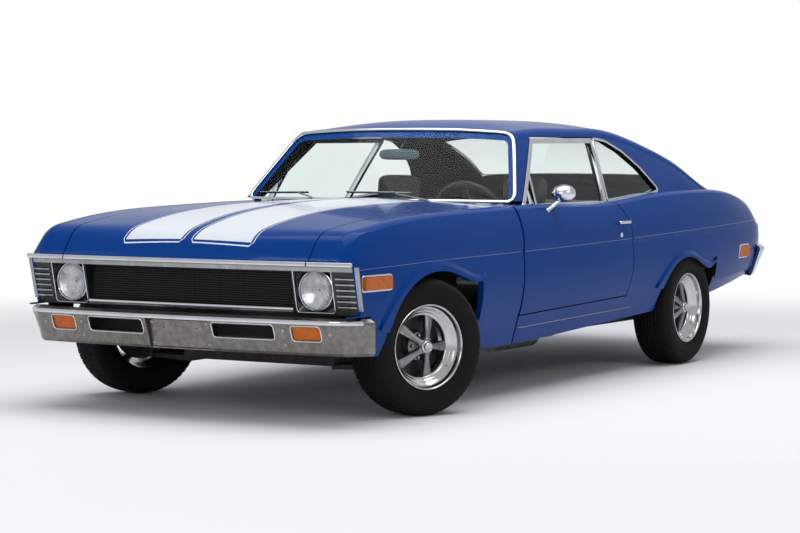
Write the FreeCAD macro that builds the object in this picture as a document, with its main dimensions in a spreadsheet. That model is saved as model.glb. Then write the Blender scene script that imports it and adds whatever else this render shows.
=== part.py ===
import FreeCAD, Part
import math
import os

Vector = FreeCAD.Vector
doc = FreeCAD.newDocument("MuscleCar")

# Driving sizes in millimetres, angles in degrees.
driving_sizes = {
    # Overall body
    "line_length": 4805, "bumper_setback": 53, "half_width": 915, "body_height": 1345,
    "wheelbase": 2790, "front_overhang": 805, "front_track": 1650, "rear_track": 1552,
    "nose_setback": 85, "nose_bow": 35, "nose_face_top": 694.5, "nose_face_low": 647, "nose_bottom": 478,
    "lip_height": 690, "tail_setback": 52, "tail_bow": 22,
    # Sheet metal and joints between panels
    "panel_thickness": 18, "wall_thickness": 60, "door_thickness": 86, "door_skin": 16,
    "shut_gap": 6, "jamb_step": 14, "glass_thickness": 6, "glass_recess": 14,
    "seat_gap": 0.3, "overrun": 60, "moulding_height": 4, "moulding_width": 16,
    "pillar_thickness": 42, "frame_thickness": 34, "frame_width": 26,
    # Cabin openings
    "cowl_length": 150, "windshield_base": 937, "windshield_header": 1252, "windshield_rake": 39.6,
    "windshield_bow": 26, "windshield_border": 26, "windshield_corner": 62,
    "belt_height": 893, "side_glass_top": 1221, "tumble_share_drop": 145,
    # Wheels
    "tyre_radius": 308, "tyre_width": 220, "rim_radius": 190, "rim_width": 190, "rim_wall": 7,
    "dish_depth": 62, "spoke_thickness": 26, "hub_cap_radius": 30, "disc_radius": 132,
    "disc_thickness": 24, "spindle_radius": 22,
    "front_arch_rise": 322, "front_arch_back": 115, "front_arch_reach": 515, "front_arch_tail": 285,
    "rear_arch_rise": 277, "rear_arch_ahead": 22, "rear_arch_half": 350, "flare_width": 70, "flare_height": 12,
    "wheel_house_radius": 322, "wheel_house_side": 892,
    # Steering and suspension
    "kingpin_offset": 135, "steer_at_rest": 22, "kingpin_radius": 16,
    "steering_wheel_radius": 195, "steering_rim_radius": 13,
}
sheet = doc.addObject("Spreadsheet::Sheet", "Sizes")
for row, (alias, value) in enumerate(driving_sizes.items(), start=1):
    sheet.set("A%d" % row, alias)
    sheet.set("B%d" % row, str(value))
    sheet.setAlias("B%d" % row, alias)
doc.recompute()


def size(alias):
    return float(sheet.get(alias))


length = size("line_length")
reach = length / 2
centre_shift = size("bumper_setback") / 2
half_width = size("half_width")
body_height = size("body_height")
front_axle = reach - size("front_overhang")
zero = front_axle
rear_axle = front_axle - size("wheelbase")
hub_height = size("tyre_radius")
overrun = size("overrun")
gap = size("shut_gap")
seat = size("seat_gap")

# Character lines of the body, as (share of reach, share of half width or body height).
side_width_shares = [(1.0, .925), (.967, .935), (.960, .950), (.952, .960), (.940, .966), (.92, .970), (.88, .975), (.80, .984), (.66, .988), (.32, .984),
                     (-.20, .983), (-.51, .990), (-.70, .982), (-.85, .955), (-.93, .925), (-.98, .885), (-1.0, .870)]
crease_height_shares = [(1.0, .510), (.70, .512), (.30, .513), (-.20, .517), (-.55, .526), (-.86, .540), (-1.0, .545)]
rocker_height_shares = [(1.0, .262), (.41, .280), (-.23, .305), (-.62, .325), (-1.0, .365)]
bottom_height_shares = [(1.0, .228), (.70, .205), (.38, .187), (-.08, .213), (-.45, .242), (-.61, .266),
                        (-.83, .312), (-1.0, .345)]
belt_height_shares = [(1.0, .514), (.958, .515), (.950, .527), (.942, .548), (.922, .592), (.88, .616), (.80, .634),
                      (.68, .651), (.52, .660), (.32, .666), (0.0, .664), (-.13, .664), (-.30, .683), (-.45, .693),
                      (-.60, .694), (-.75, .682), (-.868, .646), (-.93, .604), (-.965, .562), (-1.0, .556)]
centre_height_shares = [(1.0, .521), (.966, .522), (.960, .536), (.952, .556), (.940, .583), (.915, .611), (.83, .650), (.71, .678),
                        (.52, .6965), (.30, .698), (0.0, .690), (-.30, .695), (-.60, .706), (-.72, .707), (-.80, .695),
                        (-.88, .672), (-.94, .648), (-1.0, .632)]
body_station_shares = [1.0, .967, .960, .953, .945, .935, .918, .88, .80, .68, .52, .32, .10, -.13, -.30, -.45, -.60, -.75,
                       -.868, -.93, -.965, -1.0]
# Greenhouse lines, as (share of reach, share of body height).
corner_height_shares = [(.40, .925), (.186, .938), (.124, .949), (-.04, .958), (-.21, .957), (-.344, .932), (-.417, .903),
                        (-.521, .853), (-.63, .770), (-.692, .717), (-.727, .697), (-.76, .680)]
roof_height_shares = [(.40, .935), (.186, .944), (.124, .970), (-.04, .991), (-.21, .989), (-.344, .963), (-.417, .932),
                      (-.521, .870), (-.63, .784), (-.692, .727), (-.727, .705), (-.76, .690)]
roof_station_shares = [.40, .186, .124, -.04, -.21, -.344, -.417, -.521, -.63, -.692, -.727, -.76]


def follow(line_shares, share):
    """Height or width share of a character line at a place along the car (monotone cubic)."""
    points = sorted(line_shares)
    xs = [p[0] for p in points]
    ys = [p[1] for p in points]
    slopes = [(ys[i + 1] - ys[i]) / (xs[i + 1] - xs[i]) for i in range(len(xs) - 1)]
    tangents = [slopes[0]]
    for left, right in zip(slopes, slopes[1:]):
        tangents.append(0.0 if left * right <= 0 else 2 * left * right / (left + right))
    tangents.append(slopes[-1])
    share = min(max(share, xs[0]), xs[-1])
    index = max(i for i in range(len(xs) - 1) if xs[i] <= share)
    span = xs[index + 1] - xs[index]
    u = (share - xs[index]) / span
    return (ys[index] * (1 + 2 * u) * (1 - u) ** 2 + ys[index + 1] * u * u * (3 - 2 * u)
            + span * (tangents[index] * u * (1 - u) ** 2 + tangents[index + 1] * u * u * (u - 1)))


def line(start, end):
    return Part.LineSegment(start, end).toShape()


def arc(start, middle, end):
    return Part.Arc(start, middle, end).toShape()


def spline(points):
    curve = Part.BSplineCurve()
    curve.interpolate(points)
    return curve.toShape()


def mirrored(shape):
    return shape.mirror(Vector(0, 0, 0), Vector(0, 1, 0))


# Shares of the side section: how far each line lies inside the widest line.
section_shares = {"crease": .006, "rocker": .036, "sill": .074, "belt": .052, "shoulder": .118, "top": .36, "crown": .012}


def other_side(point):
    return Vector(point.x, -point.y, point.z)


def body_points(share, inset):
    """Named corners of the lower body's half section at one station, moved in by the inset."""
    x = share * reach
    width = follow(side_width_shares, share) * half_width - inset
    crease = follow(crease_height_shares, share) * body_height
    rocker = follow(rocker_height_shares, share) * body_height
    bottom = follow(bottom_height_shares, share) * body_height
    belt = follow(belt_height_shares, share) * body_height
    centre = follow(centre_height_shares, share) * body_height - inset
    rise = belt - crease
    belt_z = belt - min(inset, rise * .6)
    shoulder_z = belt_z + section_shares["crown"] * body_height - (inset - min(inset, rise * .6)) * .5
    top_z = shoulder_z + (centre - shoulder_z) * .62
    return {
        "bottom": Vector(x, width - section_shares["sill"] * half_width, bottom),
        "rocker": Vector(x, width - section_shares["rocker"] * half_width, rocker),
        "side": Vector(x, width, rocker + (crease - rocker) * .76),
        "crease": Vector(x, width - section_shares["crease"] * half_width, crease),
        "belt": Vector(x, width - section_shares["belt"] * half_width, belt_z),
        "shoulder": Vector(x, width - section_shares["shoulder"] * half_width, shoulder_z),
        "top": Vector(x, section_shares["top"] * half_width, top_z), "centre": Vector(x, 0, centre)}


def body_edges(p):
    """Edges over the car from the right sill to the left sill."""
    lean = (p["belt"] + p["crease"]) * .5
    upper = lean + Vector(0, (p["belt"].z - p["crease"].z) * .08, (p["crease"].y - p["belt"].y) * .08)
    turn = (p["belt"] + p["shoulder"]) * .5 + Vector(0, .008 * half_width, .004 * body_height)
    o = {name: other_side(point) for name, point in p.items()}
    top = spline([o["shoulder"], o["top"], p["centre"], p["top"], p["shoulder"]])
    return [line(o["bottom"], o["rocker"]), arc(o["rocker"], o["side"], o["crease"]),
            arc(o["crease"], other_side(upper), o["belt"]), arc(o["belt"], other_side(turn), o["shoulder"]), top,
            arc(p["shoulder"], turn, p["belt"]), arc(p["belt"], upper, p["crease"]),
            arc(p["crease"], p["side"], p["rocker"]), line(p["rocker"], p["bottom"])]


glass_lean = size("tumble_share_drop") / (size("side_glass_top") - size("belt_height"))
sill_half_share = .873


def side_plane(height, inset):
    """Half width of the greenhouse side at a height, with the tumblehome."""
    return sill_half_share * half_width - inset - (height - size("belt_height")) * glass_lean


def roof_points(share, inset):
    x = share * reach
    corner = follow(corner_height_shares, share) * body_height - inset
    top = follow(roof_height_shares, share) * body_height - inset
    low = .60 * body_height
    edge_z = corner - .034 * body_height
    return {"foot": Vector(x, side_plane(low, inset), low), "side": Vector(x, side_plane(edge_z, inset), edge_z),
            "corner": Vector(x, side_plane(corner, inset) - .045 * half_width, corner), "top": Vector(x, 0, top)}


def roof_edges(p):
    turn = (p["side"] + p["corner"]) * .5 + Vector(0, .011 * half_width, .009 * body_height)
    crown = Vector(p["top"].x, p["corner"].y * .55, p["corner"].z + (p["top"].z - p["corner"].z) * .80)
    middle = (p["foot"] + p["side"]) * .5 + Vector(0, .006 * half_width, 0)
    o = {name: other_side(point) for name, point in p.items()}
    return [arc(o["foot"], other_side(middle), o["side"]), arc(o["side"], other_side(turn), o["corner"]),
            spline([o["corner"], other_side(crown), p["top"], crown, p["corner"]]),
            arc(p["corner"], turn, p["side"]), arc(p["side"], middle, p["foot"])]


def solid_section(points, edges, foot):
    return Part.Wire(edges(points) + [line(points[foot], other_side(points[foot]))])


def shell_section(outer, inner, edges, foot):
    """Closed outline of a bent sheet: over the car outside and back inside."""
    return Part.Wire(edges(outer) + [line(outer[foot], inner[foot])] + edges(inner)[::-1]
                     + [line(other_side(inner[foot]), other_side(outer[foot]))])


def lower_body(inset):
    return Part.makeLoft([solid_section(body_points(s, inset), body_edges, "bottom") for s in body_station_shares],
                         True, False)


def greenhouse(inset):
    return Part.makeLoft([solid_section(roof_points(s, inset), roof_edges, "foot") for s in roof_station_shares],
                         True, False)


def lower_sheet(inset):
    return Part.makeLoft([shell_section(body_points(s, 0), body_points(s, inset), body_edges, "bottom")
                          for s in body_station_shares], True, False)


def house_sheet(outset, inset):
    return Part.makeLoft([shell_section(roof_points(s, outset), roof_points(s, inset), roof_edges, "foot")
                          for s in roof_station_shares], True, False)


def place(share):
    """Distance along the car of a share of the reach."""
    return share * reach


def block(x_low, x_high, y_low, y_high, z_low, z_high):
    return Part.makeBox(x_high - x_low, y_high - y_low, z_high - z_low, Vector(x_low, y_low, z_low))


def rod(start, end, radius):
    axis = end - start
    return Part.makeCylinder(radius, axis.Length, start, axis)


def tube(start, end, radius, wall):
    return rod(start, end, radius).cut(rod(start, end, radius - wall))


def side_prism(wire, y_low, y_high):
    """Solid swept across the car from a closed outline in the side view."""
    moved = wire.translated(Vector(0, y_low, 0))
    return Part.Face(moved).extrude(Vector(0, y_high - y_low, 0))


def closed(points):
    return Part.makePolygon(points + [points[0]])


def grown(wire, offset):
    """Outline moved outwards (or inwards if negative) with square corners."""
    return wire.makeOffset2D(offset, 2)


pieces = []


def keep(label, shape):
    """Named part of the car, moved so that the middle of the whole car is at zero."""
    feature = doc.addObject("Part::Feature", label)
    feature.Label = label
    feature.Shape = shape.translated(Vector(centre_shift, 0, 0))
    pieces.append(feature)
    return feature


def bound(kind, label, bindings):
    """Part primitive whose sizes and place follow the sheet."""
    item = doc.addObject(kind, label)
    for name, expression in bindings.items():
        item.setExpression(name, expression)
    return item


# Outer form of the whole body, cut at the nose and tail by bowed faces.
def bow_cutter(x_centre, bow, outward):
    side = half_width + overrun
    middle = Vector(x_centre, 0, -overrun)
    left = Vector(x_centre - outward * bow, side, -overrun)
    right = Vector(x_centre - outward * bow, -side, -overrun)
    far = outward * overrun * 3
    wire = Part.Wire([arc(right, middle, left), line(left, left + Vector(far, 0, 0)),
                      line(left + Vector(far, 0, 0), right + Vector(far, 0, 0)),
                      line(right + Vector(far, 0, 0), right)])
    return Part.Face(wire).extrude(Vector(0, 0, body_height + overrun * 2))


def face_cutter(ahead):
    """Everything ahead of the leaning, bowed face below the front lip."""
    side = half_width + overrun
    far = overrun * 3
    wires = []
    for height, back in ((size("nose_bottom"), size("nose_face_low")), (size("lip_height"), size("nose_face_top"))):
        middle = zero + back + ahead
        corner = middle - size("nose_bow")
        wires.append(Part.Wire([arc(Vector(corner, -side, height), Vector(middle, 0, height), Vector(corner, side, height)),
                                line(Vector(corner, side, height), Vector(middle + far, side, height)),
                                line(Vector(middle + far, side, height), Vector(middle + far, -side, height)),
                                line(Vector(middle + far, -side, height), Vector(corner, -side, height))]))
    return Part.makeLoft(wires, True, True)


nose_x = reach - size("nose_setback")
tail_x = -reach + size("tail_setback")
lower_outer = lower_body(0).cut(bow_cutter(nose_x, size("nose_bow"), 1)).cut(bow_cutter(tail_x, size("tail_bow"), -1))
panel = size("panel_thickness")
lower_panel = lower_sheet(panel)
lower_wall = lower_sheet(size("wall_thickness"))
lower_inner = lower_body(panel)
house_outer = greenhouse(0)

# Windshield surface: a plane leaning back, bowed forward at the middle.
windshield_x = zero - 930
lean = math.tan(math.radians(size("windshield_rake")))


def windshield_cutter(back):
    """Everything ahead of the windshield surface moved back by a distance."""
    wires = []
    for height in (size("belt_height") - overrun * 4, body_height + overrun):
        x_centre = windshield_x - (height - size("windshield_base")) * lean - back
        side = half_width
        middle = Vector(x_centre, 0, height)
        left = Vector(x_centre - size("windshield_bow"), side, height)
        right = Vector(x_centre - size("windshield_bow"), -side, height)
        ahead = length / 4
        wires.append(Part.Wire([arc(right, middle, left), line(left, Vector(middle.x + ahead, side, height)),
                                line(Vector(middle.x + ahead, side, height), Vector(middle.x + ahead, -side, height)),
                                line(Vector(middle.x + ahead, -side, height), right)]))
    return Part.makeLoft(wires, True, True)


glass = size("glass_thickness")
rebate = glass + 2
rim_land = 10
ahead_of_glass = windshield_cutter(0)
behind_glass = windshield_cutter(rebate)
house_land = greenhouse(rim_land)

# Side openings in the side view.
belt = size("belt_height")
glass_top = size("side_glass_top")
frame_outline = closed([Vector(zero - 962, 0, belt - 8), Vector(zero - 1347, 0, glass_top + 13),
                        Vector(zero - 2040, 0, glass_top + 15), Vector(zero - 1915, 0, belt - 8)])
door_front = zero - 830
hinge_x = door_front - 70
hinge_y = 860
door_foot_front = 392
door_foot_rear = 420
rear_cut = [Vector(zero - 1915, 0, belt + 12), Vector(zero - 1950, 0, belt - 32),
            Vector(zero - 1998, 0, belt - 85), Vector(zero - 2026, 0, belt - 175),
            Vector(zero - 2035, 0, belt - 284), Vector(zero - 2022, 0, belt - 380),
            Vector(zero - 2000, 0, door_foot_rear)]
door_outline = Part.Wire([line(Vector(door_front, 0, door_foot_front), Vector(door_front, 0, belt + 60)),
                          line(Vector(door_front, 0, belt + 60), Vector(rear_cut[0].x, 0, belt + 60)),
                          line(Vector(rear_cut[0].x, 0, belt + 60), rear_cut[0]),
                          arc(rear_cut[0], rear_cut[2], rear_cut[3]), arc(rear_cut[3], rear_cut[4], rear_cut[6]),
                          line(rear_cut[-1], Vector(door_front, 0, door_foot_front))])
door_inner_face = 760
outside = half_width + overrun
step = size("jamb_step")
quarter_outline = closed([Vector(zero - 2052, 0, glass_top + 8), Vector(zero - 2180, 0, glass_top - 6),
                          Vector(zero - 2330, 0, glass_top - 60), Vector(zero - 2480, 0, glass_top - 150),
                          Vector(zero - 2600, 0, glass_top - 262), Vector(zero - 2290, 0, belt + 22),
                          Vector(zero - 1938, 0, belt - 4)])

# Doors: slab with a full outer skin and a body that steps in all round.
outer_slab = lower_outer.common(block(-reach, reach, door_inner_face, outside, 0, body_height))
door_full = side_prism(door_outline, door_inner_face, outside)
door_ledge = side_prism(grown(door_outline, step), door_inner_face - step, outside).cut(
    side_prism(grown(door_outline, -step), door_inner_face - step, outside))
door_shell = outer_slab.common(door_full).cut(lower_body(size("door_skin")).common(door_ledge))
house_side = house_sheet(0, size("frame_thickness")).common(block(-reach, reach, 0, outside, 0, body_height))
frame_prism = side_prism(frame_outline, 0, outside)
frame_hole = side_prism(grown(frame_outline, -size("frame_width")), 0, outside)
divider = side_prism(closed([Vector(zero - 1122, 0, belt - 8), Vector(zero - 1222, 0, glass_top),
                             Vector(zero - 1240, 0, glass_top), Vector(zero - 1140, 0, belt - 8)]), 0, outside)
door_frame = house_side.common(frame_prism.cut(frame_hole.cut(divider)))
# The frame stands on the door's shoulder.
door_frame = door_frame.cut(lower_outer)
glass_sheet = house_sheet(size("glass_recess"), size("glass_recess") + size("glass_thickness")).common(
    block(-reach, reach, 0, outside, 0, body_height))
door_glass = glass_sheet.common(side_prism(grown(frame_outline, -size("frame_width") - seat), 0, outside))
door_glass = door_glass.cut(side_prism(grown(closed([Vector(zero - 1122, 0, belt - 8), Vector(zero - 1222, 0, glass_top),
                             Vector(zero - 1240, 0, glass_top), Vector(zero - 1140, 0, belt - 8)]), seat), 0, outside)).cut(lower_outer)
for side, turn in (("left", lambda s: s), ("right", mirrored)):
    keep("door_%s_shell" % side, turn(door_shell))
    keep("door_%s_frame" % side, turn(door_frame))
    keep("door_%s_glass" % side, turn(door_glass))

# Roof with its pillars, standing on the body's shoulder.
cut_front = ahead_of_glass.fuse(behind_glass.common(house_land))
roof = house_sheet(0, size("pillar_thickness")).cut(cut_front).cut(lower_outer)
opening = grown(frame_outline, gap)
opening_inner = grown(frame_outline, gap + step)
through = side_prism(opening, -outside, outside)
through_inner = side_prism(opening_inner, -outside, outside).common(greenhouse(size("door_skin")))
roof = roof.cut(through).cut(through_inner).cut(side_prism(quarter_outline, -outside, outside))
backlight_outline = closed([Vector(zero - 2480, 560, 0), Vector(zero - 2480, -560, 0),
                            Vector(zero - 3160, -620, 0), Vector(zero - 3160, 620, 0)])
backlight = Part.Face(backlight_outline).extrude(Vector(0, 0, body_height + overrun))
roof = roof.cut(backlight)
trunk_front = zero - 3345
trunk_rear = zero - 3890
trunk_half = 690


def trunk_plan(offset):
    return closed([Vector(trunk_front + offset, trunk_half + offset, 0), Vector(trunk_front + offset, -trunk_half - offset, 0),
                   Vector(trunk_rear - offset, -trunk_half + 30 - offset, 0), Vector(trunk_rear - offset, trunk_half - 30 + offset, 0)])


trunk_space = Part.Face(trunk_plan(gap)).extrude(Vector(0, 0, body_height))
roof = roof.cut(trunk_space)
pillar_foot_top = 930
for side in (1, -1):
    roof = roof.cut(Part.makeCylinder(130, pillar_foot_top, Vector(hinge_x, side * hinge_y, 0)))
keep("roof", roof)
keep("windshield", behind_glass.cut(windshield_cutter(2)).common(greenhouse(rim_land + seat)).common(
    block(-reach, reach, -outside, outside, size("windshield_base") - 4, body_height)).cut(lower_outer))
quarter_glass = glass_sheet.common(side_prism(grown(quarter_outline, -seat), 0, outside)).cut(lower_outer)
back_glass = house_sheet(2, 2 + glass).common(
    Part.Face(grown(backlight_outline, -seat)).extrude(Vector(0, 0, body_height + overrun)))
keep("rear_glass", Part.makeCompound([quarter_glass, mirrored(quarter_glass), back_glass]))

# Hood between its two long joints.
hood_front_half = 657
hood_rear_half = 735
hood_rear_x = zero - 800
cowl_x = hood_rear_x - gap
inset_line = gap / 2


def hood_plan(offset):
    x_front = nose_x + overrun
    rear = hood_rear_x - offset
    return closed([Vector(x_front, hood_front_half + offset, 0), Vector(x_front, -hood_front_half - offset, 0),
                   Vector(rear, -hood_rear_half - offset, 0), Vector(rear, hood_rear_half + offset, 0)])


lip_height = size("lip_height")
skin = lower_panel.cut(bow_cutter(nose_x, size("nose_bow"), 1)).cut(bow_cutter(tail_x, size("tail_bow"), -1))
above_lip = block(-reach, reach, -outside, outside, lip_height, body_height)
hood = skin.common(Part.Face(hood_plan(0)).extrude(Vector(0, 0, body_height))).common(above_lip)
keep("hood", hood)

# Fenders ahead of the doors.
hood_space = Part.Face(hood_plan(gap)).extrude(Vector(0, 0, body_height))
hinge_clear = Part.makeCylinder(70 + 22, body_height, Vector(hinge_x, hinge_y, 0))


def arch(apex_x, rise, ahead, behind, front_share, rear_share, grow):
    """Wheel opening: a smooth curve over the wheel and straight legs below the hub line."""
    top = rise + grow

    def flank(along, share):
        return [Vector(apex_x + along, 0, hub_height), Vector(apex_x + along * share, 0, hub_height + top * share)]

    front = flank(ahead + grow, front_share)
    rear = flank(-behind - grow, rear_share)
    curve = Part.BSplineCurve()
    curve.interpolate([front[0], front[1], Vector(apex_x, 0, hub_height + top), rear[1], rear[0]],
                      InitialTangent=Vector(0, 0, 1), FinalTangent=Vector(0, 0, -1))
    low = Vector(0, 0, hub_height + overrun)
    return Part.Wire([curve.toShape(), line(rear[0], rear[0] - low), line(rear[0] - low, front[0] - low),
                      line(front[0] - low, front[0])])


def arch_tool(opening, grow, y_low, y_high):
    return side_prism(arch(*opening, grow), y_low, y_high)


flare_foot_share = .968
flare_limit = lower_body(-size("flare_height"))


def flare(opening):
    """Raised lip round a wheel opening."""
    inner = arch(*opening, 0).translated(Vector(0, half_width + size("flare_height"), 0))
    outer = arch(*opening, size("flare_width")).translated(Vector(0, half_width * flare_foot_share, 0))
    cone = Part.makeLoft([outer, inner], True, True)
    floor = follow(rocker_height_shares, opening[0] / reach) * body_height
    return cone.common(flare_limit).common(
        block(-reach, reach, half_width * flare_foot_share, outside, floor, body_height)).cut(
        arch_tool(opening, 0, 0, outside + overrun))


front_opening = (front_axle - size("front_arch_back"), size("front_arch_rise"), size("front_arch_reach"),
                 size("front_arch_tail"), .78, .83)
rear_opening = (rear_axle + size("rear_arch_ahead"), size("rear_arch_rise"), size("rear_arch_half"),
                size("rear_arch_half"), .77, .77)
marker_spots = [(403, 617, 587, 641, 872, 908), (-3627, -3480, 557, 620, 820, 890)]


def marker_blocks(spot, grow):
    """Lamp block on the left side, let into the panel."""
    x_low, x_high, z_low, z_high, y_low, y_high = spot
    return block(zero + x_low - grow, zero + x_high + grow, y_low - grow, y_high, z_low - grow, z_high + grow)


fender = skin.common(block(door_front + gap, reach, hood_rear_half * .8, outside, 0, body_height)).cut(hood_space)
front_arch = arch_tool(front_opening, 0, 0, outside)
fender = fender.cut(front_arch).fuse(flare(front_opening).cut(lower_body(panel - 2))).cut(hinge_clear)
fender = fender.cut(block(-reach, cowl_x, 0, hood_rear_half + gap * 2, 0, body_height))
fender = fender.cut(block(zero + 545, reach, 0, outside, 0, 472)).cut(face_cutter(3))
fender = fender.cut(marker_blocks(marker_spots[0], seat))
for side, turn in (("left", lambda s: s), ("right", mirrored)):
    keep("fender_%s" % side, turn(fender))

# Cowl between hood and windshield, with the firewall under it.
cowl = skin.common(block(windshield_x - 120, cowl_x, -hood_rear_half - gap, hood_rear_half + gap, 0, body_height)).cut(
    block(-reach, windshield_x - 60, -outside, outside, 0, body_height))
firewall = block(zero - 520, zero - 500, -700, 700, 260, 850).cut(block(zero - 520, zero - 500, -128, 128, 0, 408))
for side in (1, -1):
    cowl = cowl.cut(Part.makeCylinder(128, body_height, Vector(hinge_x, side * hinge_y, 0)))
keep("cowl", cowl)
keep("firewall", firewall)

# Quarter panels behind the doors with the sills.
wall = lower_wall
door_space = side_prism(grown(door_outline, gap), 0, outside)
door_space_small = side_prism(grown(door_outline, gap - step + gap * 2), 0, outside)
quarter_x = zero - 1700
quarter = wall.common(block(-reach, quarter_x, 500, outside, 0, body_height))
quarter = quarter.cut(door_space).cut(arch_tool(rear_opening, 0, 0, outside)).fuse(flare(rear_opening).cut(lower_body(size("wall_thickness") - 10)))
tail_wall = 40
tail_inner_x = tail_x + tail_wall
house_floor_space = block(trunk_front + 60, door_front, -740, 740, 700, body_height)
quarter = quarter.cut(trunk_space).cut(house_floor_space).cut(block(-reach, tail_inner_x, -outside, outside, 0, body_height))
wheel_house = rod(Vector(rear_axle, hood_rear_half * .87, hub_height), Vector(rear_axle, size("wheel_house_side"), hub_height),
                  size("wheel_house_radius"))
quarter = quarter.cut(wheel_house).cut(block(-reach, zero - 3810 + seat, 0, outside, 0, 620))
quarter = quarter.cut(marker_blocks(marker_spots[1], seat))
sill = lower_outer.common(block(quarter_x, door_front + gap, 700, outside, 0, body_height)).cut(door_space)
sill = sill.cut(block(-reach, reach, 0, outside, door_foot_front + 40, body_height)).cut(front_arch)
for side, turn in (("left", lambda s: s), ("right", mirrored)):
    keep("quarter_%s" % side, turn(quarter.fuse(sill)))
trunk_lid = skin.common(Part.Face(trunk_plan(0)).extrude(Vector(0, 0, body_height))).common(
    block(-reach, reach, -outside, outside, 700, body_height))
keep("trunk_lid", trunk_lid)
tail = lower_outer.common(block(-reach, tail_inner_x, -outside, outside, 0, body_height)).cut(trunk_space)
tail = tail.cut(block(-reach, reach, -outside, outside, 0, 620))
keep("tail_panel", tail)

# Wheels.
tyre_width = size("tyre_width")
rim_radius = size("rim_radius")
rim_width = size("rim_width")
rim_wall = size("rim_wall")
well = rim_radius - rim_wall


def turned(points, angle=360):
    """Ring about the wheel's own axis from a closed profile of (along, radius)."""
    wire = closed([Vector(radius, along, 0) for along, radius in points])
    return Part.Face(wire).revolve(Vector(0, 0, 0), Vector(0, 1, 0), angle)


def tyre_shape():
    bead = rim_width / 2 - rim_wall - seat
    tread = size("tyre_radius")
    out = tyre_width / 2
    profile = [(-bead, well + seat), (-bead, rim_radius + 4), (-out, rim_radius + (tread - rim_radius) * .45),
               (-out + 3, rim_radius + (tread - rim_radius) * .66), (-out + 14, tread - 20), (-out + 34, tread - 5),
               (-out + 56, tread), (out - 56, tread), (out - 34, tread - 5), (out - 14, tread - 20), (out - 3, rim_radius + (tread - rim_radius) * .66),
               (out, rim_radius + (tread - rim_radius) * .45), (bead, rim_radius + 4), (bead, well + seat)]
    return turned(profile)


def rim_shape():
    edge = rim_width / 2
    barrel = turned([(-edge, rim_radius), (-edge + rim_wall, rim_radius), (-edge + rim_wall, well), (edge - rim_wall, well),
                     (edge - rim_wall, rim_radius), (edge, rim_radius), (edge, well - rim_wall), (-edge, well - rim_wall)])
    face = edge - size("dish_depth")
    thick = size("spoke_thickness")
    centre = Part.makeCylinder(62, thick + 14, Vector(0, face - thick, 0), Vector(0, 1, 0))
    shape = barrel.fuse(centre)
    for turn in range(5):
        spoke = closed([Vector(-34, 0, 40), Vector(34, 0, 40), Vector(24, 0, well - 2), Vector(-24, 0, well - 2)])
        solid = Part.Face(spoke.translated(Vector(0, face - thick, 0))).extrude(Vector(0, thick, 0))
        solid.rotate(Vector(0, 0, 0), Vector(0, 1, 0), turn * 72)
        shape = shape.fuse(solid)
    disc = Part.makeCylinder(size("disc_radius"), size("disc_thickness"), Vector(0, face - thick - size("disc_thickness"), 0), Vector(0, 1, 0))
    shape = shape.fuse(disc)
    bore = Part.makeCylinder(size("spindle_radius") + seat, size("disc_thickness") + 20,
                             Vector(0, face - thick - size("disc_thickness"), 0), Vector(0, 1, 0))
    return shape.cut(bore)


rim = rim_shape()
tyre = tyre_shape()
kingpin_y = size("front_track") / 2 - size("kingpin_offset")
steer = size("steer_at_rest")


def steered(shape, side):
    """Wheel piece set out from its kingpin and turned to the right as parked."""
    result = shape.copy()
    if side < 0:
        result.rotate(Vector(0, 0, 0), Vector(0, 0, 1), 180)
    result.translate(Vector(0, side * size("kingpin_offset"), 0))
    result.rotate(Vector(0, 0, 0), Vector(0, 0, 1), -steer)
    result.translate(Vector(front_axle, side * kingpin_y, hub_height))
    return result


def parked(shape, side):
    result = shape.copy()
    if side < 0:
        result.rotate(Vector(0, 0, 0), Vector(0, 0, 1), 180)
    result.translate(Vector(rear_axle, side * size("rear_track") / 2, hub_height))
    return result


for name, side in (("left", 1), ("right", -1)):
    keep("rim_front_%s" % name, steered(rim, side))
    keep("tyre_front_%s" % name, steered(tyre, side))
    keep("rim_rear_%s" % name, parked(rim, side))
    keep("tyre_rear_%s" % name, parked(tyre, side))

# Steering knuckles with their kingpins, spindles and steering arms.
kingpin_half = 100
arm_reach = 130


def knuckle_shape():
    post = Part.makeCylinder(size("kingpin_radius"), kingpin_half * 2, Vector(0, 0, -kingpin_half))
    hub = Part.makeCylinder(34, 40, Vector(0, -20, 0), Vector(0, 1, 0))
    spindle = Part.makeCylinder(size("spindle_radius"), size("kingpin_offset") + 14, Vector(0, 0, 0), Vector(0, 1, 0))
    arm = block(-arm_reach, 0, -14, 14, -70, -50)
    return post.fuse(hub).fuse(spindle).fuse(arm)


knuckle = knuckle_shape()
for name, side in (("left", 1), ("right", -1)):
    shape = knuckle.copy()
    if side < 0:
        shape = mirrored(shape)
    shape.rotate(Vector(0, 0, 0), Vector(0, 0, 1), -steer)
    shape.translate(Vector(front_axle, side * kingpin_y, hub_height))
    keep("knuckle_%s" % name, shape)

# Steering linkage: tie rods and centre link, with their ends over the knuckle arms.
arm_top = hub_height - 50
tip_turn = math.radians(steer)
tip_x = front_axle - arm_reach * math.cos(tip_turn)
tip_shift = arm_reach * math.sin(tip_turn)
link_rod = rod(Vector(tip_x, -kingpin_y + tip_shift, arm_top + 16), Vector(tip_x, kingpin_y + tip_shift, arm_top + 16), 9)
link = link_rod
for side in (1, -1):
    link = link.fuse(Part.makeCylinder(15, 26, Vector(tip_x, side * kingpin_y + tip_shift, arm_top + seat)))
keep("steering_linkage", link)


def x_at(back):
    """Place along the car of a point measured back from the zero station."""
    return zero - back


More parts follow.
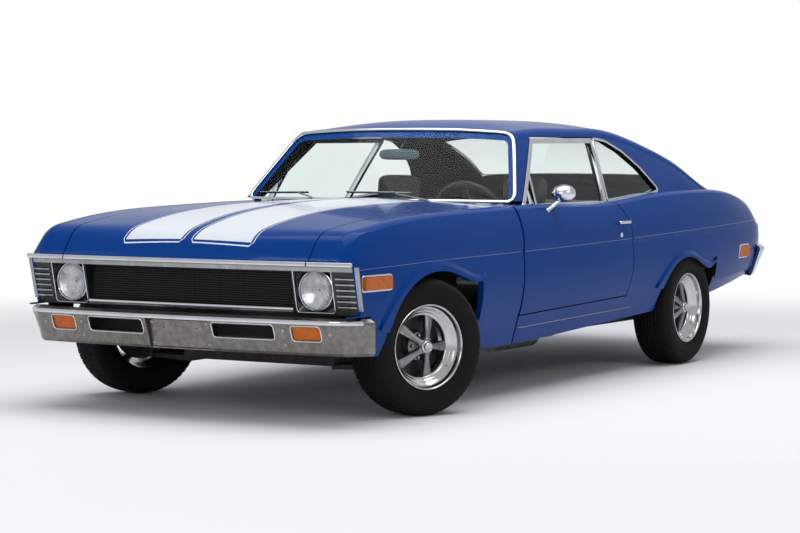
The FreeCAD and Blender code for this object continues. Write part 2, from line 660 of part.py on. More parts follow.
# Control arms with the sockets that hold the kingpins.
def control_arm(low, thick, half_spread, pivot_y):
    plate = closed([Vector(front_axle + 20, kingpin_y, low), Vector(front_axle - 20, kingpin_y, low),
                    Vector(front_axle - half_spread, pivot_y, low), Vector(front_axle + half_spread, pivot_y, low)])
    window = closed([Vector(front_axle, kingpin_y - 75, low), Vector(front_axle - half_spread + 34, pivot_y + 30, low),
                     Vector(front_axle + half_spread - 34, pivot_y + 30, low)])
    solid = Part.Face(plate).extrude(Vector(0, 0, thick)).cut(Part.Face(window).extrude(Vector(0, 0, thick)))
    return solid.fuse(Part.makeCylinder(28, thick, Vector(front_axle, kingpin_y, low)))


lower_arm_top = hub_height - kingpin_half - seat
upper_arm_low = hub_height + kingpin_half + seat
arms = []
for turn in (lambda q: q, mirrored):
    arms += [turn(control_arm(lower_arm_top - 22, 22, 95, 420)), turn(control_arm(upper_arm_low, 20, 88, 440))]
keep("control_arms", Part.makeCompound(arms))

# Front frame under the engine.
rail = block(x_at(499), x_at(-600), 380, 440, 294, 366)
tower = block(front_axle - 100, front_axle + 100, 400, 440, 366, 450)
pivot = block(front_axle - 95, front_axle + 95, 396, 420 - seat, 184, 294)
cross = block(front_axle - 96, front_axle + 110, -420 + seat, 420 - seat, 200, 260)
pad = block(front_axle - 60, front_axle + 60, 260 + seat, 381, 330, 350)
frame = cross
for turn in (lambda q: q, mirrored):
    for solid in (rail, tower, pivot, pad):
        frame = frame.fuse(turn(solid))
front_bar = block(x_at(-560), x_at(-600), -440, 440, 310, 360)
horn = block(x_at(-560), x_at(-684), 380, 440, 320, 360)

engine = bound("Part::Box", "engine_block", {})
engine.Length, engine.Width, engine.Height = 700, 520, 470
engine.Placement.Base = Vector(x_at(430) + centre_shift, -260, 300)
pieces.append(engine)
keep("gearbox", block(x_at(1249), x_at(430 + seat), -110, 110, 252, 400))

# Inner panels of the engine bay and the radiator wall.
apron = block(x_at(480), x_at(-560), 446, 458, 380, 800).cut(block(front_axle - 100, front_axle + 100, 440, 460, 380, 445))
bay = block(x_at(-560 + seat), x_at(-585), -640, 640, 366 + seat, 640)
for turn in (lambda q: q, mirrored):
    bay = bay.fuse(turn(apron))
hood_stop = block(x_at(-563), x_at(-582), -30, 30, 630, body_height).common(lower_body(panel + seat))
keep("engine_bay", bay.fuse(hood_stop))


# Floor, tunnel, rear kick-up and luggage floor.
def floor_profile(y_low, y_high, points, thick):
    top = [Vector(x_at(b), 0, z) for b, z in points]
    low = [Vector(x_at(b), 0, z - thick) for b, z in points[::-1]]
    return side_prism(closed(top + low), y_low, y_high)


floor_points = [(520 + seat, 274), (2330, 274), (2480, 470), (3250, 470), (3300, 440), (3880, 450)]
floor = floor_profile(-600, 600, floor_points, 12).fuse(floor_profile(-700 + seat, 700 - seat, floor_points[:2], 12))
tunnel_line = [(520 + seat, 420), (2440, 420)]
tunnel = floor_profile(-140, 140, tunnel_line, 12)
for turn in (lambda q: q, mirrored):
    tunnel = tunnel.fuse(turn(floor_profile(128, 140, tunnel_line, 160)))
house = block(x_at(3270), x_at(2390), 600, 612, 455, 760)
for turn in (lambda q: q, mirrored):
    tunnel = tunnel.fuse(turn(house))
floor = floor.cut(block(x_at(2420), x_at(480), -128, 128, 200, 400)).fuse(tunnel)
keep("floor_pan", floor)

# Rear axle with its springs, driveshaft, tank and exhaust.
axle_end = size("rear_track") / 2
axle_tube = rod(Vector(rear_axle, -axle_end + 60, hub_height), Vector(rear_axle, axle_end - 60, hub_height), 38)
stub = rod(Vector(rear_axle, -axle_end - 14, hub_height), Vector(rear_axle, axle_end + 14, hub_height), size("spindle_radius"))
pumpkin = Part.makeSphere(135, Vector(rear_axle, 0, hub_height))
axle = axle_tube.fuse(stub).fuse(pumpkin)
spring = block(rear_axle - 700, rear_axle + 720, 505, 565, 232, 254)
spring_pad = block(rear_axle - 60, rear_axle + 60, 510, 560, 254, 300)
hanger_low = block(rear_axle - 700, rear_axle - 670, 515, 555, 254, 430.5)
hanger_front = block(rear_axle + 690, rear_axle + 720, 515, 555, 254, 262 - seat)
for turn in (lambda q: q, mirrored):
    for solid in (spring, spring_pad, hanger_low, hanger_front):
        axle = axle.fuse(turn(solid))
keep("rear_axle", axle)
keep("driveshaft", rod(Vector(rear_axle + 136, 0, hub_height), Vector(x_at(1250), 0, 326), 38))
keep("fuel_tank", block(x_at(3800), x_at(3330), -380, 380, 250, 428.5 - seat))
pipe = rod(Vector(x_at(560), -330, 195), Vector(x_at(2200), -330, 195), 26)
muffler = rod(Vector(x_at(1500), -330, 195), Vector(x_at(1950), -330, 195), 60)
hanger = block(x_at(1900), x_at(1880), -340, -320, 195, 262 - seat)
pipe = pipe.fuse(muffler).fuse(hanger)
keep("exhaust", Part.makeCompound([pipe, mirrored(pipe)]))


# Bumpers: bowed bars with ends that wrap round the body.
def bumper_plan(height, knots, more, thick, direction):
    """Closed plan outline of a bumper at one height."""
    rows = []
    for inset in (more, more + thick):
        (end_x, end_y), (start_x, start_y), (turn_x, turn_y), (corner_x, corner_y), (tip_x, tip_y) = knots
        half = [Vector(direction * end_x, end_y - inset, height), Vector(direction * (start_x - inset * .9), start_y - inset, height),
                Vector(direction * (turn_x - inset * .93), turn_y - inset * .8, height),
                Vector(direction * (corner_x - inset), corner_y - inset * .4, height)]
        tip = Vector(direction * (tip_x - inset), 0, height)
        other = [other_side(q) for q in half]
        edges = [line(half[0], half[1]), arc(half[1], half[2], half[3]), arc(half[3], tip, other[3]),
                 arc(other[3], other[2], other[1]), line(other[1], other[0])]
        rows.append((half, other, edges))
    (half, other, outer), (half_in, other_in, inner) = rows
    return Part.Wire(outer + [line(other[0], other_in[0])] + inner[::-1] + [line(half_in[0], half[0])])


def bumper_bar(levels, thick, top_knots, low_knots, direction):
    """Bar through plan outlines; each level says how far it has slid from the top to the low outline."""
    wires = []
    for height, slide_share, inset in levels:
        knots = [(a + (c - a) * slide_share, b + (d - b) * slide_share)
                 for (a, b), (c, d) in zip(top_knots, low_knots)]
        wires.append(bumper_plan(height, knots, inset, thick, direction))
    return Part.makeLoft(wires, True, True)


front_top_knots = [(zero + 594, 935), (zero + 650, 878), (zero + 682, 838), (zero + 705, 789), (zero + 752, 0)]
front_low_knots = [(zero + 552, 910), (zero + 608, 862), (zero + 634, 848), (zero + 655, 820), (zero + 702, 0)]
front_levels = [(304, 1, 8), (316, .93, 0), (440, 0, 0), (452, 0, 2), (466, 0, 24)]
front_bar = bumper_bar(front_levels, 34, front_top_knots, front_low_knots, 1)
lamp_core = bumper_bar([(320, .9, 5), (440, 0, 5)], 24, front_top_knots, front_low_knots, 1)
horn_trim = bumper_bar(front_levels, 34 + seat, front_top_knots, front_low_knots, 1)
front_bar = front_bar.cut(block(zero + 600, reach, -168, 168, 300, 440))
panel_side = closed([Vector(zero + 724, 0, 444), Vector(zero + 690, 0, 304), Vector(zero + 672, 0, 304), Vector(zero + 706, 0, 444)])
front_bar = front_bar.fuse(side_prism(panel_side, -168 - 3, 168 + 3))
lamps = []
for side in (1, -1):
    for y_low, y_high, z_low, z_high in ((192, 498, 372, 430), (590, 724, 370, 428)):
        y_pair = sorted((side * y_low, side * y_high))
        front_bar = front_bar.cut(block(zero + 600, reach, *y_pair, z_low, z_high))
        if y_low > 500:
            lamps.append(lamp_core.common(block(zero + 600, reach, y_pair[0] + seat, y_pair[1] - seat, z_low + seat, z_high - seat)))
for side in (1, -1):
    front_bar = front_bar.cut(rod(Vector(zero + 660, side * 89, 400), Vector(zero + 760, side * 89, 400), 3.5))
keep("front_bumper", front_bar)
keep("turn_lamps", Part.makeCompound(lamps))
for turn in (lambda q: q, mirrored):
    frame = frame.fuse(turn(horn.cut(horn_trim)))
keep("front_frame", frame)
rear_knots = [(reach - 190, 876), (reach - 90, 862), (reach - 62, 840), (reach - 48, 800), (reach, 0)]
rear_bar = bumper_bar([(432, 0, 60), (448, 0, 48), (585, 0, 0), (600, 0, 2), (618, 0, 26)], 18, rear_knots, rear_knots, -1)
for side in (1, -1):
    rear_bar = rear_bar.cut(rod(Vector(80 - reach, side * 89, 540), Vector(-reach - 20, side * 89, 540), 3.5))
    rear_bar = rear_bar.fuse(block(x_at(3945), x_at(3880 + seat), side * 320 - 20, side * 320 + 20, 440, 450))
keep("rear_bumper", rear_bar)

# Nose panel with the openings for the grille, lamps and side louvres.
nose_outer = lower_body(panel + seat).cut(face_cutter(0))
nose = nose_outer.common(block(zero + 585 + seat, reach, -outside, outside, size("nose_bottom"), lip_height - seat))
lamp_y = 663
for y_low, y_high, z_low, z_high in ((-560, 560, 505, 664), (572, 756, 489, 673), (-756, -572, 489, 673)):
    nose = nose.cut(block(zero + 600, reach, y_low, y_high, z_low, z_high))
for side in (1, -1):
    for row in range(6):
        y_pair = sorted((side * 788, side * 840))
        nose = nose.cut(block(zero + 606, reach, *y_pair, 506 + row * 24.4, 506 + row * 24.4 + 15))
keep("nose_panel", nose)
grille_x = zero + 634
grille = None
for row in range(10):
    z = 512 + row * 15.6
    bar = block(grille_x - 18, grille_x, -560 + seat, 560 - seat, z, z + 5)
    grille = bar if grille is None else grille.fuse(bar)
for column in range(9):
    y = -440 + column * 110
    grille = grille.fuse(block(grille_x - 24, grille_x - 17, y - 3, y + 3, 505 + seat, 664 - seat))
keep("grille", grille)
lamps = []
for side in (1, -1):
    bowl = Part.makeCylinder(90, 20, Vector(zero + 600 + seat, side * lamp_y, 581), Vector(1, 0, 0))
    lens = Part.makeSphere(185, Vector(zero + 600 + seat + 20 + 25 - 185, side * lamp_y, 581)).common(
        Part.makeCylinder(90, 40, Vector(zero + 600 + seat + 20, side * lamp_y, 581), Vector(1, 0, 0)))
    lamps.append(bowl.fuse(lens))
keep("headlamps", Part.makeCompound(lamps))
markers = []
for spot in marker_spots:
    markers += [marker_blocks(spot, 0), mirrored(marker_blocks(spot, 0))]
keep("side_markers", Part.makeCompound(markers))
tails = []
for side in (1, -1):
    y_pair = sorted((side * 400, side * 720))
    tails.append(block(tail_x - 12, tail_x + 4, *y_pair, 640, 720))
keep("tail_lamps", Part.makeCompound(tails).cut(lower_outer))


# Seats, dashboard and steering wheel.
def seat_shape(x_low, x_high, y_low, y_high, base, cushion_top, top, back):
    cushion = block(x_low, x_high, y_low, y_high, base, cushion_top)
    profile = closed([Vector(x_low, 0, cushion_top), Vector(x_low + 130, 0, cushion_top), Vector(x_low + 20, 0, top),
                      Vector(x_low - back + 20, 0, top), Vector(x_low - back, 0, base + 40), Vector(x_low, 0, base + 40)])
    return cushion.fuse(side_prism(profile, y_low, y_high))


seats = []
for side in (1, -1):
    solid = seat_shape(x_at(1760), x_at(1270), side * 385 - 240, side * 385 + 240, 274 + seat, 510, 890, 110)
    head = block(x_at(1830), x_at(1750), side * 385 - 115, side * 385 + 115, 890, 1038)
    seats.append(solid.fuse(head))
keep("front_seats", Part.makeCompound(seats))
keep("rear_seat", seat_shape(x_at(2830), x_at(2490), -590, 590, 470 + seat, 600, 880, 120))
dash = closed([Vector(x_at(760), 0, 640), Vector(x_at(600), 0, 640), Vector(x_at(560), 0, 850), Vector(x_at(900), 0, 868),
               Vector(x_at(930), 0, 820)])
dash = side_prism(dash, -735, 735).fuse(block(x_at(600), x_at(520 + seat), -690, 690, 700, 760))
wheel_at = Vector(x_at(1250), 370, 830)
column_turn = math.radians(24)
column_axis = Vector(-math.cos(column_turn), 0, math.sin(column_turn))
column = rod(wheel_at - column_axis * 785, wheel_at - column_axis * (25 + seat), 30)
bracket = block(x_at(760), x_at(700), 355, 385, 600, 645)
keep("dashboard", dash.fuse(column).fuse(bracket))
wheel_rim = Part.makeTorus(size("steering_wheel_radius"), size("steering_rim_radius"))
hub = Part.makeCylinder(45, 30, Vector(0, 0, -25))
spokes = block(-size("steering_wheel_radius"), size("steering_wheel_radius"), -16, 16, -6, 4)
steering = wheel_rim.fuse(hub).fuse(spokes)
steering.Placement = FreeCAD.Placement(wheel_at, FreeCAD.Rotation(Vector(0, 0, 1), column_axis))
keep("steering_wheel", steering)
glass_head = block(x_at(1174), x_at(1154), -120, 120, 1124, 1180).fuse(rod(Vector(x_at(1166), 0, 1150), Vector(x_at(1300), 0, 1284), 8))
keep("inside_mirror", glass_head.cut(house_sheet(0, size("pillar_thickness"))))
mirror_head = Part.makeCylinder(64, 40, Vector(x_at(1240), 905, 963), Vector(1, 0, 0))
stem = rod(Vector(x_at(1140), 835, 872), Vector(x_at(1225), 898, 945), 8)
keep("door_mirror", mirror_head.fuse(stem).cut(lower_outer).cut(house_outer))

# Door handles: a rounded bar on two feet.
handle_bar = block(x_at(1962), x_at(1838), 906, 922, 795, 811)
handle_feet = block(x_at(1958), x_at(1934), 860, 908, 796, 810).fuse(block(x_at(1866), x_at(1842), 860, 908, 796, 810))
handle = handle_bar.makeFillet(6, handle_bar.Edges).fuse(handle_feet).cut(lower_body(-seat))
keep("door_left_handle", handle)
keep("door_right_handle", mirrored(handle))

doc.recompute()
os.makedirs("parts", exist_ok=True)
for old in os.listdir("parts"):
    if old.endswith(".step"):
        os.remove(os.path.join("parts", old))
for item in doc.Objects:
    if "Invalid" in item.State or "Error" in item.State:
        raise RuntimeError("%s failed: %s" % (item.Label, item.State))
for item in pieces:
    if item.Shape.isNull() or not item.Shape.isValid():
        raise RuntimeError("%s has no valid shape" % item.Label)
    item.Shape.exportStep("parts/%s.step" % item.Label)
    print(item.Label, len(item.Shape.Solids), round(item.Shape.Volume / 1e6, 2))
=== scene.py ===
from math import cos, pi, radians, sin, tan
import bmesh
import bpy
import numpy as np
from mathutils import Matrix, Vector
from mathutils.bvhtree import BVHTree


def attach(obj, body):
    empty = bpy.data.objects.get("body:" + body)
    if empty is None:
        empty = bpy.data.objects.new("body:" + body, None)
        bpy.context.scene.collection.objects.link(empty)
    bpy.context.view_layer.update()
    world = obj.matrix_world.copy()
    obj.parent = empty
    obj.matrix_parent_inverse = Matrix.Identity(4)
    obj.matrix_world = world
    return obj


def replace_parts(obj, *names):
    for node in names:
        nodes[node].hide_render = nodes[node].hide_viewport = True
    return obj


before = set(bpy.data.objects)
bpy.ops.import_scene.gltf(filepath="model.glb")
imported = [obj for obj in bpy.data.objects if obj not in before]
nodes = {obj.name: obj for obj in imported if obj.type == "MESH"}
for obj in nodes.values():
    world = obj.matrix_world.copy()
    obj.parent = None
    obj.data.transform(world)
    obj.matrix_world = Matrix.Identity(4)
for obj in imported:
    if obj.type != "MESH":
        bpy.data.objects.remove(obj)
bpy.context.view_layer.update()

scene = bpy.context.scene
scene.view_settings.view_transform = "Standard"
frontAxle = 1.624                 # place of the front axle along the car, in metres
sides = (("left", 1), ("right", -1))
mergeDistance = 1e-6              # closer points, in metres, become one
sameStep = 1e-7                   # points nearer than this, in metres, count as one along a line
sharpEdge = 38                    # edges above this angle, in degrees, stay sharp
loopPoints = 88                   # points round the outline of a lamp, slot or bezel
hullDirections = 720              # directions in which a hull's farthest points are sought
rodPoints = 3                     # a straight rod has its ends and its middle
fineness = 8                      # relief is this much finer than the cloudy colour, where not given


# Millimetres ahead of the front axle, to the left and up, as metres in the frame.
def at(x, y, z):
    x, y, z = np.broadcast_arrays(np.asarray(x, float), np.asarray(y, float), np.asarray(z, float))
    return np.stack([frontAxle + x / 1000, y / 1000, z / 1000], -1)


# Mesh from an array of points and a list of faces, smooth except at sharp edges.
def makePiece(name, points, faces, look, body, slot, sharpAngle=sharpEdge):
    mesh = bpy.data.meshes.new(name)
    corners = np.asarray(points, float).reshape(-1, 3)
    mesh.from_pydata(corners.tolist(), [], [list(map(int, face)) for face in faces])
    work = bmesh.new()
    work.from_mesh(mesh)
    bmesh.ops.remove_doubles(work, verts=work.verts, dist=mergeDistance)
    bmesh.ops.recalc_face_normals(work, faces=work.faces)
    work.to_mesh(mesh)
    work.free()
    mesh.polygons.foreach_set("use_smooth", np.ones(len(mesh.polygons), bool))
    mesh.set_sharp_from_angle(angle=radians(sharpAngle))
    mesh.materials.append(look)
    piece = bpy.data.objects.new(name, mesh)
    scene.collection.objects.link(piece)
    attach(piece, body)
    return piece


# Quads between neighbouring rows and columns of a grid of points.
def gridFaces(rows, columns, wrapRows=False):
    row, column = np.meshgrid(np.arange(rows if wrapRows else rows - 1), np.arange(columns), indexing="ij")
    nextRow, nextColumn = (row + 1) % rows, (column + 1) % columns
    quads = np.stack([row * columns + column, nextRow * columns + column,
                      nextRow * columns + nextColumn, row * columns + nextColumn], -1)
    return quads.reshape(-1, 4).tolist()


# Points and faces of a tube whose first and last rows are closed by flat caps.
def closedGrid(grid):
    rows, columns = grid.shape[:2]
    faces = gridFaces(rows, columns)
    faces.append(list(range(columns)))
    faces.append(list(range((rows - 1) * columns, rows * columns))[::-1])
    return grid.reshape(-1, 3), faces


# Section (side, up) carried along a path: point = path + side part + up part.
def sweep(path, section, up, wrap=False):
    path = np.asarray(path, float)
    tangent = np.roll(path, -1, 0) - np.roll(path, 1, 0) if wrap else np.gradient(path, axis=0)
    tangent /= np.linalg.norm(tangent, axis=1, keepdims=True)
    side = np.cross(np.broadcast_to(np.asarray(up, float), path.shape), tangent)
    side /= np.linalg.norm(side, axis=1, keepdims=True)
    upward = np.cross(tangent, side)
    return path[:, None] + section[None, :, :1] * side[:, None] + section[None, :, 1:] * upward[:, None]


# Rod or bead along a path; one that wraps is a closed loop, any other has flat ends.
def sweepPiece(name, path, section, up, look, body="root", slot="chrome", wrap=False):
    grid = sweep(path, section, up, wrap)
    if wrap:
        return makePiece(name, grid, gridFaces(*grid.shape[:2], wrapRows=True), look, body, slot)
    return makePiece(name, *closedGrid(grid), look, body, slot)


# Superellipse: x = half width * cos^power, y = half height * sin^power, signs kept.
def oval(width, height, count, power=1.0):
    t = np.linspace(0, 2 * pi, count, endpoint=False) + pi / count
    return np.stack([width / 2 * np.sign(np.cos(t)) * abs(np.cos(t)) ** power,
                     height / 2 * np.sign(np.sin(t)) * abs(np.sin(t)) ** power], -1)


# The same outline from millimetres to metres, as the section of a bead, rod or moulding.
def bead(width, height, count, power=1.0):
    return oval(width / 1000, height / 1000, count, power)


# Rectangle with rounded corners: a quarter circle about each inset corner.
def roundedBox(width, height, radius, cornerPoints=4):
    t = np.linspace(0, pi / 2, cornerPoints)
    corners = []
    for turn, (sideX, sideY) in enumerate(((1, 1), (-1, 1), (-1, -1), (1, -1))):
        angle = t + turn * pi / 2
        corners.append(np.stack([sideX * (width / 2 - radius) + radius * np.cos(angle),
                                 sideY * (height / 2 - radius) + radius * np.sin(angle)], -1))
    return np.concatenate(corners)


# Profile (along, radius) turned about an axis: centre + along * axis + radius * (cos, sin).
def revolve(profile, centre, axis, up, count, wobble=None):
    along, radius = profile[:, 0], profile[:, 1][:, None]
    axis = np.asarray(axis, float) / np.linalg.norm(axis)
    first = np.asarray(up, float)
    first = first - axis * (first @ axis)
    first /= np.linalg.norm(first)
    second = np.cross(axis, first)
    t = np.linspace(0, 2 * pi, count, endpoint=False)
    radius = radius + (0 if wobble is None else wobble(along[:, None], t[None]))
    ring = np.cos(t)[:, None] * first + np.sin(t)[:, None] * second
    return np.asarray(centre, float) + along[:, None, None] * axis + radius[..., None] * ring[None]


# Points and faces of a ring-shaped turned part; the profile is a closed loop in millimetres.
def turned(profile, centre, axis, up, count, wobble=None):
    grid = revolve(np.array(profile, float) / 1000, centre, axis, up, count, wobble)
    return grid.reshape(-1, 3), gridFaces(*grid.shape[:2], wrapRows=True)


# One piece from several (points, faces) pairs.
def joined(name, parts, look, body="root", slot="chrome", sharpAngle=sharpEdge):
    points, faces, start = [], [], 0
    for corners, quads in parts:
        points.append(corners)
        faces += [[i + start for i in quad] for quad in quads]
        start += len(corners)
    return makePiece(name, np.concatenate(points), faces, look, body, slot, sharpAngle)


# Points at even steps along a line.
def resample(points, count, closed=True):
    points = np.asarray(points, float)
    if closed:
        points = np.concatenate([points, points[:1]])
    step = np.r_[0, np.cumsum(np.linalg.norm(np.diff(points, axis=0), axis=1))]
    keep = np.r_[True, np.diff(step) > sameStep]
    points, step = points[keep], step[keep]
    even = np.linspace(0, step[-1], count, endpoint=not closed)
    return np.stack([np.interp(even, step, column) for column in points.T], -1)


# Bent line through places in millimetres, with evenly spaced points.
def bentLine(corners, count):
    return resample(at(*np.array(corners, float).T), count, closed=False)


# Loop rounded off: each point moves to a quarter of its neighbours and half of itself.
def softened(points, rounds):
    for _ in range(rounds):
        points = (np.roll(points, 1, 0) + 2 * points + np.roll(points, -1, 0)) / 4
    return points


# Corners of a CAD node as rows of x, y and z.
def nodePoints(name):
    mesh = nodes[name].data
    flat = np.empty(len(mesh.vertices) * 3, np.float32)
    mesh.vertices.foreach_get("co", flat)
    return flat.reshape(-1, 3).astype(float)


# Hull of points seen along one axis: the farthest point in each direction.
def outline(points, across, count):
    flat = points[:, across]
    t = np.linspace(0, 2 * pi, hullDirections, endpoint=False)
    far = np.argmax(flat @ np.stack([np.cos(t), np.sin(t)]), axis=0)
    order = far[np.r_[True, far[1:] != far[:-1]]]
    return resample(flat[order], count)


# Hull loop moved out by some metres: point = hull point + outward normal * grow.
def paneLoop(points, across, grow, rounds=2, count=140):
    flat = softened(outline(points, across, count), rounds)
    along = np.roll(flat, -1, 0) - np.roll(flat, 1, 0)
    normal = np.stack([along[:, 1], -along[:, 0]], -1)
    normal /= np.linalg.norm(normal, axis=1, keepdims=True)
    normal *= np.sign((normal * (flat - flat.mean(0))).sum(1).mean())
    return flat + normal * grow


# A socket is linked where the value is a socket, and otherwise takes the value.
def put(tree, socket, value):
    if isinstance(value, bpy.types.NodeSocket):
        tree.links.new(value, socket)
    else:
        socket.default_value = value


# New shader node with its settings and the values of its inputs.
def addNode(tree, kind, values=None, **settings):
    node = tree.nodes.new("ShaderNode" + kind)
    for name, value in settings.items():
        setattr(node, name, value)
    for name, value in (values or {}).items():
        put(tree, node.inputs[name], value)
    return node


# Result of a Math node on numbers or sockets.
def maths(tree, kind, *values):
    return addNode(tree, "Math", dict(enumerate(values)), operation=kind).outputs[0]


# The Mix node's colour sockets share their names with others, so they are found by kind.
def mixColors(tree, factor, first, second, blend="MIX"):
    node = addNode(tree, "Mix", {"Factor": factor}, data_type="RGBA", blend_type=blend)
    for socket, value in zip([s for s in node.inputs if s.type == "RGBA"], (first, second)):
        put(tree, socket, value)
    return next(s for s in node.outputs if s.type == "RGBA")


# Node group with named sockets, each row a name, a kind and for inputs a value.
def newGroup(name, inputs, outputs):
    group = bpy.data.node_groups.new(name, "ShaderNodeTree")
    for label, kind, value in inputs:
        socket = group.interface.new_socket(name=label, in_out="INPUT", socket_type="NodeSocket" + kind)
        if value is not None:
            socket.default_value = value
    for label, kind in outputs:
        group.interface.new_socket(name=label, in_out="OUTPUT", socket_type="NodeSocket" + kind)
    return group, group.nodes.new("NodeGroupInput").outputs, group.nodes.new("NodeGroupOutput").inputs


cloud = {"detail": 6, "roughness": 0.62, "low": 0.33, "high": 0.68}
grain = {"detail": 4, "distance": 0.002}
middleGrey = (0.5, 0.5, 0.5, 1)


# Cloudy change of colour and roughness: mix of two colours by noise.
def mottleGroup():
    group, ins, outs = newGroup("mottle", [
        ("Vector", "Vector", None), ("Color A", "Color", middleGrey), ("Color B", "Color", middleGrey),
        ("Scale", "Float", 12), ("Rough Low", "Float", 0.2), ("Rough High", "Float", 0.3)],
        [("Color", "Color"), ("Roughness", "Float")])
    noise = addNode(group, "TexNoise", {"Vector": ins["Vector"], "Scale": ins["Scale"],
                                        "Detail": cloud["detail"], "Roughness": cloud["roughness"]})
    share = addNode(group, "MapRange", {"Value": noise.outputs["Fac"], "From Min": cloud["low"],
                                        "From Max": cloud["high"]}).outputs["Result"]
    put(group, outs["Color"], mixColors(group, share, ins["Color A"], ins["Color B"]))
    rough = addNode(group, "MapRange",
                    {"Value": share, "To Min": ins["Rough Low"], "To Max": ins["Rough High"]})
    put(group, outs["Roughness"], rough.outputs["Result"])
    return group


# Fine relief: fractal noise turned into a normal.
def grainGroup():
    group, ins, outs = newGroup("grain", [("Vector", "Vector", None), ("Scale", "Float", 96),
                                          ("Strength", "Float", 0.1)], [("Normal", "Vector")])
    noise = addNode(group, "TexNoise",
                    {"Vector": ins["Vector"], "Scale": ins["Scale"], "Detail": grain["detail"]})
    relief = addNode(group, "Bump", {"Height": noise.outputs["Fac"], "Strength": ins["Strength"],
                                     "Distance": grain["distance"]})
    put(group, outs["Normal"], relief.outputs["Normal"])
    return group


# Painted glint standing for the metal flecks in the paint: a glint colour added by the distance to the
# nearest random cell.
def paintedGlintGroup():
    group, ins, outs = newGroup("paintedGlint", [("Vector", "Vector", None), ("Color", "Color", middleGrey),
                                           ("Glint", "Color", middleGrey), ("Scale", "Float", 900)],
                                [("Color", "Color")])
    cells = addNode(group, "TexVoronoi", {"Vector": ins["Vector"], "Scale": ins["Scale"]})
    put(group, outs["Color"], mixColors(group, cells.outputs["Distance"], ins["Color"], ins["Glint"], "ADD"))
    return group


# Mask of the faces that look back at the middle of the car: (place - middle) dot normal below a limit.
def innerGroup():
    group, ins, outs = newGroup("innerFaces", [("Vector", "Vector", None), ("Normal", "Vector", None),
                                               ("Middle", "Vector", None), ("Limit", "Float", 0)],
                                [("Mask", "Float")])
    outwards = addNode(group, "VectorMath", {0: ins["Vector"], 1: ins["Middle"]}, operation="SUBTRACT")
    facing = addNode(group, "VectorMath", {0: outwards.outputs["Vector"], 1: ins["Normal"]},
                     operation="DOT_PRODUCT")
    put(group, outs["Mask"], maths(group, "LESS_THAN", facing.outputs["Value"], ins["Limit"]))
    return group


groups = {"mottle": mottleGroup(), "grain": grainGroup(), "paintedGlint": paintedGlintGroup(), "inner": innerGroup()}


# Shared group placed in a material with that material's own values.
def placeGroup(tree, name, values):
    node = tree.nodes.new("ShaderNodeGroup")
    node.node_tree = groups[name]
    for label, value in values.items():
        put(tree, node.inputs[label], value)
    return node.outputs


# Principled material whose colour and roughness follow the mottle group; finish sets other sockets.
def material(name, colorA, colorB, rough, metal=0.0, scale=12, bump=0.0, bumpScale=None, **finish):
    mat = bpy.data.materials.new(name)
    mat.use_nodes = True
    tree = mat.node_tree
    shader = tree.nodes["Principled BSDF"].inputs
    where = tree.nodes.new("ShaderNodeTexCoord").outputs["Object"]
    spots = placeGroup(tree, "mottle", {"Vector": where, "Color A": (*colorA, 1), "Color B": (*colorB, 1),
                                        "Scale": scale, "Rough Low": rough[0], "Rough High": rough[1]})
    put(tree, shader["Base Color"], spots["Color"])
    put(tree, shader["Roughness"], spots["Roughness"])
    shader["Metallic"].default_value = metal
    for label, value in {"Coat_Roughness": 0.03, **finish}.items():
        shader[label.replace("_", " ")].default_value = value
    if bump:
        relief = placeGroup(tree, "grain", {"Vector": where, "Scale": bumpScale or scale * fineness,
                                            "Strength": bump})
        put(tree, shader["Normal"], relief["Normal"])
    return mat


paint = {"blue": (0.001, 0.040, 0.215), "deepBlue": (0.001, 0.034, 0.185), "cloud": 1.3,
         "glint": (0.001, 0.012, 0.06), "glintCellScale": 900,
         "rough": (0.20, 0.25), "coat": 0.35, "ior": 1.18, "specular": 0.2,
         "inside": (0.010, 0.010, 0.011), "insideRough": 0.6, "middle": (-0.10, 0.0, 0.55), "limit": -0.015}
stripe = {"white": (0.72, 0.75, 0.79), "inner": 0.035, "outer": 0.340, "front": 0.655, "corner": 0.002,
          "line": 0.013, "lineWidth": 0.005}


# Two stripes and their outlines: distance outside a rectangle, below zero or near the line's place.
def stripeMask(tree, where):
    split = addNode(tree, "SeparateXYZ", {0: where}).outputs
    middle, half = (stripe["inner"] + stripe["outer"]) / 2, (stripe["outer"] - stripe["inner"]) / 2
    offset = maths(tree, "SUBTRACT", maths(tree, "ABSOLUTE", split[1]), middle)
    sideways = maths(tree, "SUBTRACT", maths(tree, "ABSOLUTE", offset), half)
    ahead = maths(tree, "SUBTRACT", split[0], frontAxle + stripe["front"])
    corner = maths(tree, "SUBTRACT", maths(tree, "ADD", sideways, ahead), -stripe["corner"])
    away = maths(tree, "MAXIMUM", maths(tree, "MAXIMUM", sideways, ahead), corner)
    inside = maths(tree, "LESS_THAN", away, 0.0)
    ring = maths(tree, "COMPARE", away, stripe["line"], stripe["lineWidth"] / 2)
    return maths(tree, "MAXIMUM", inside, ring)


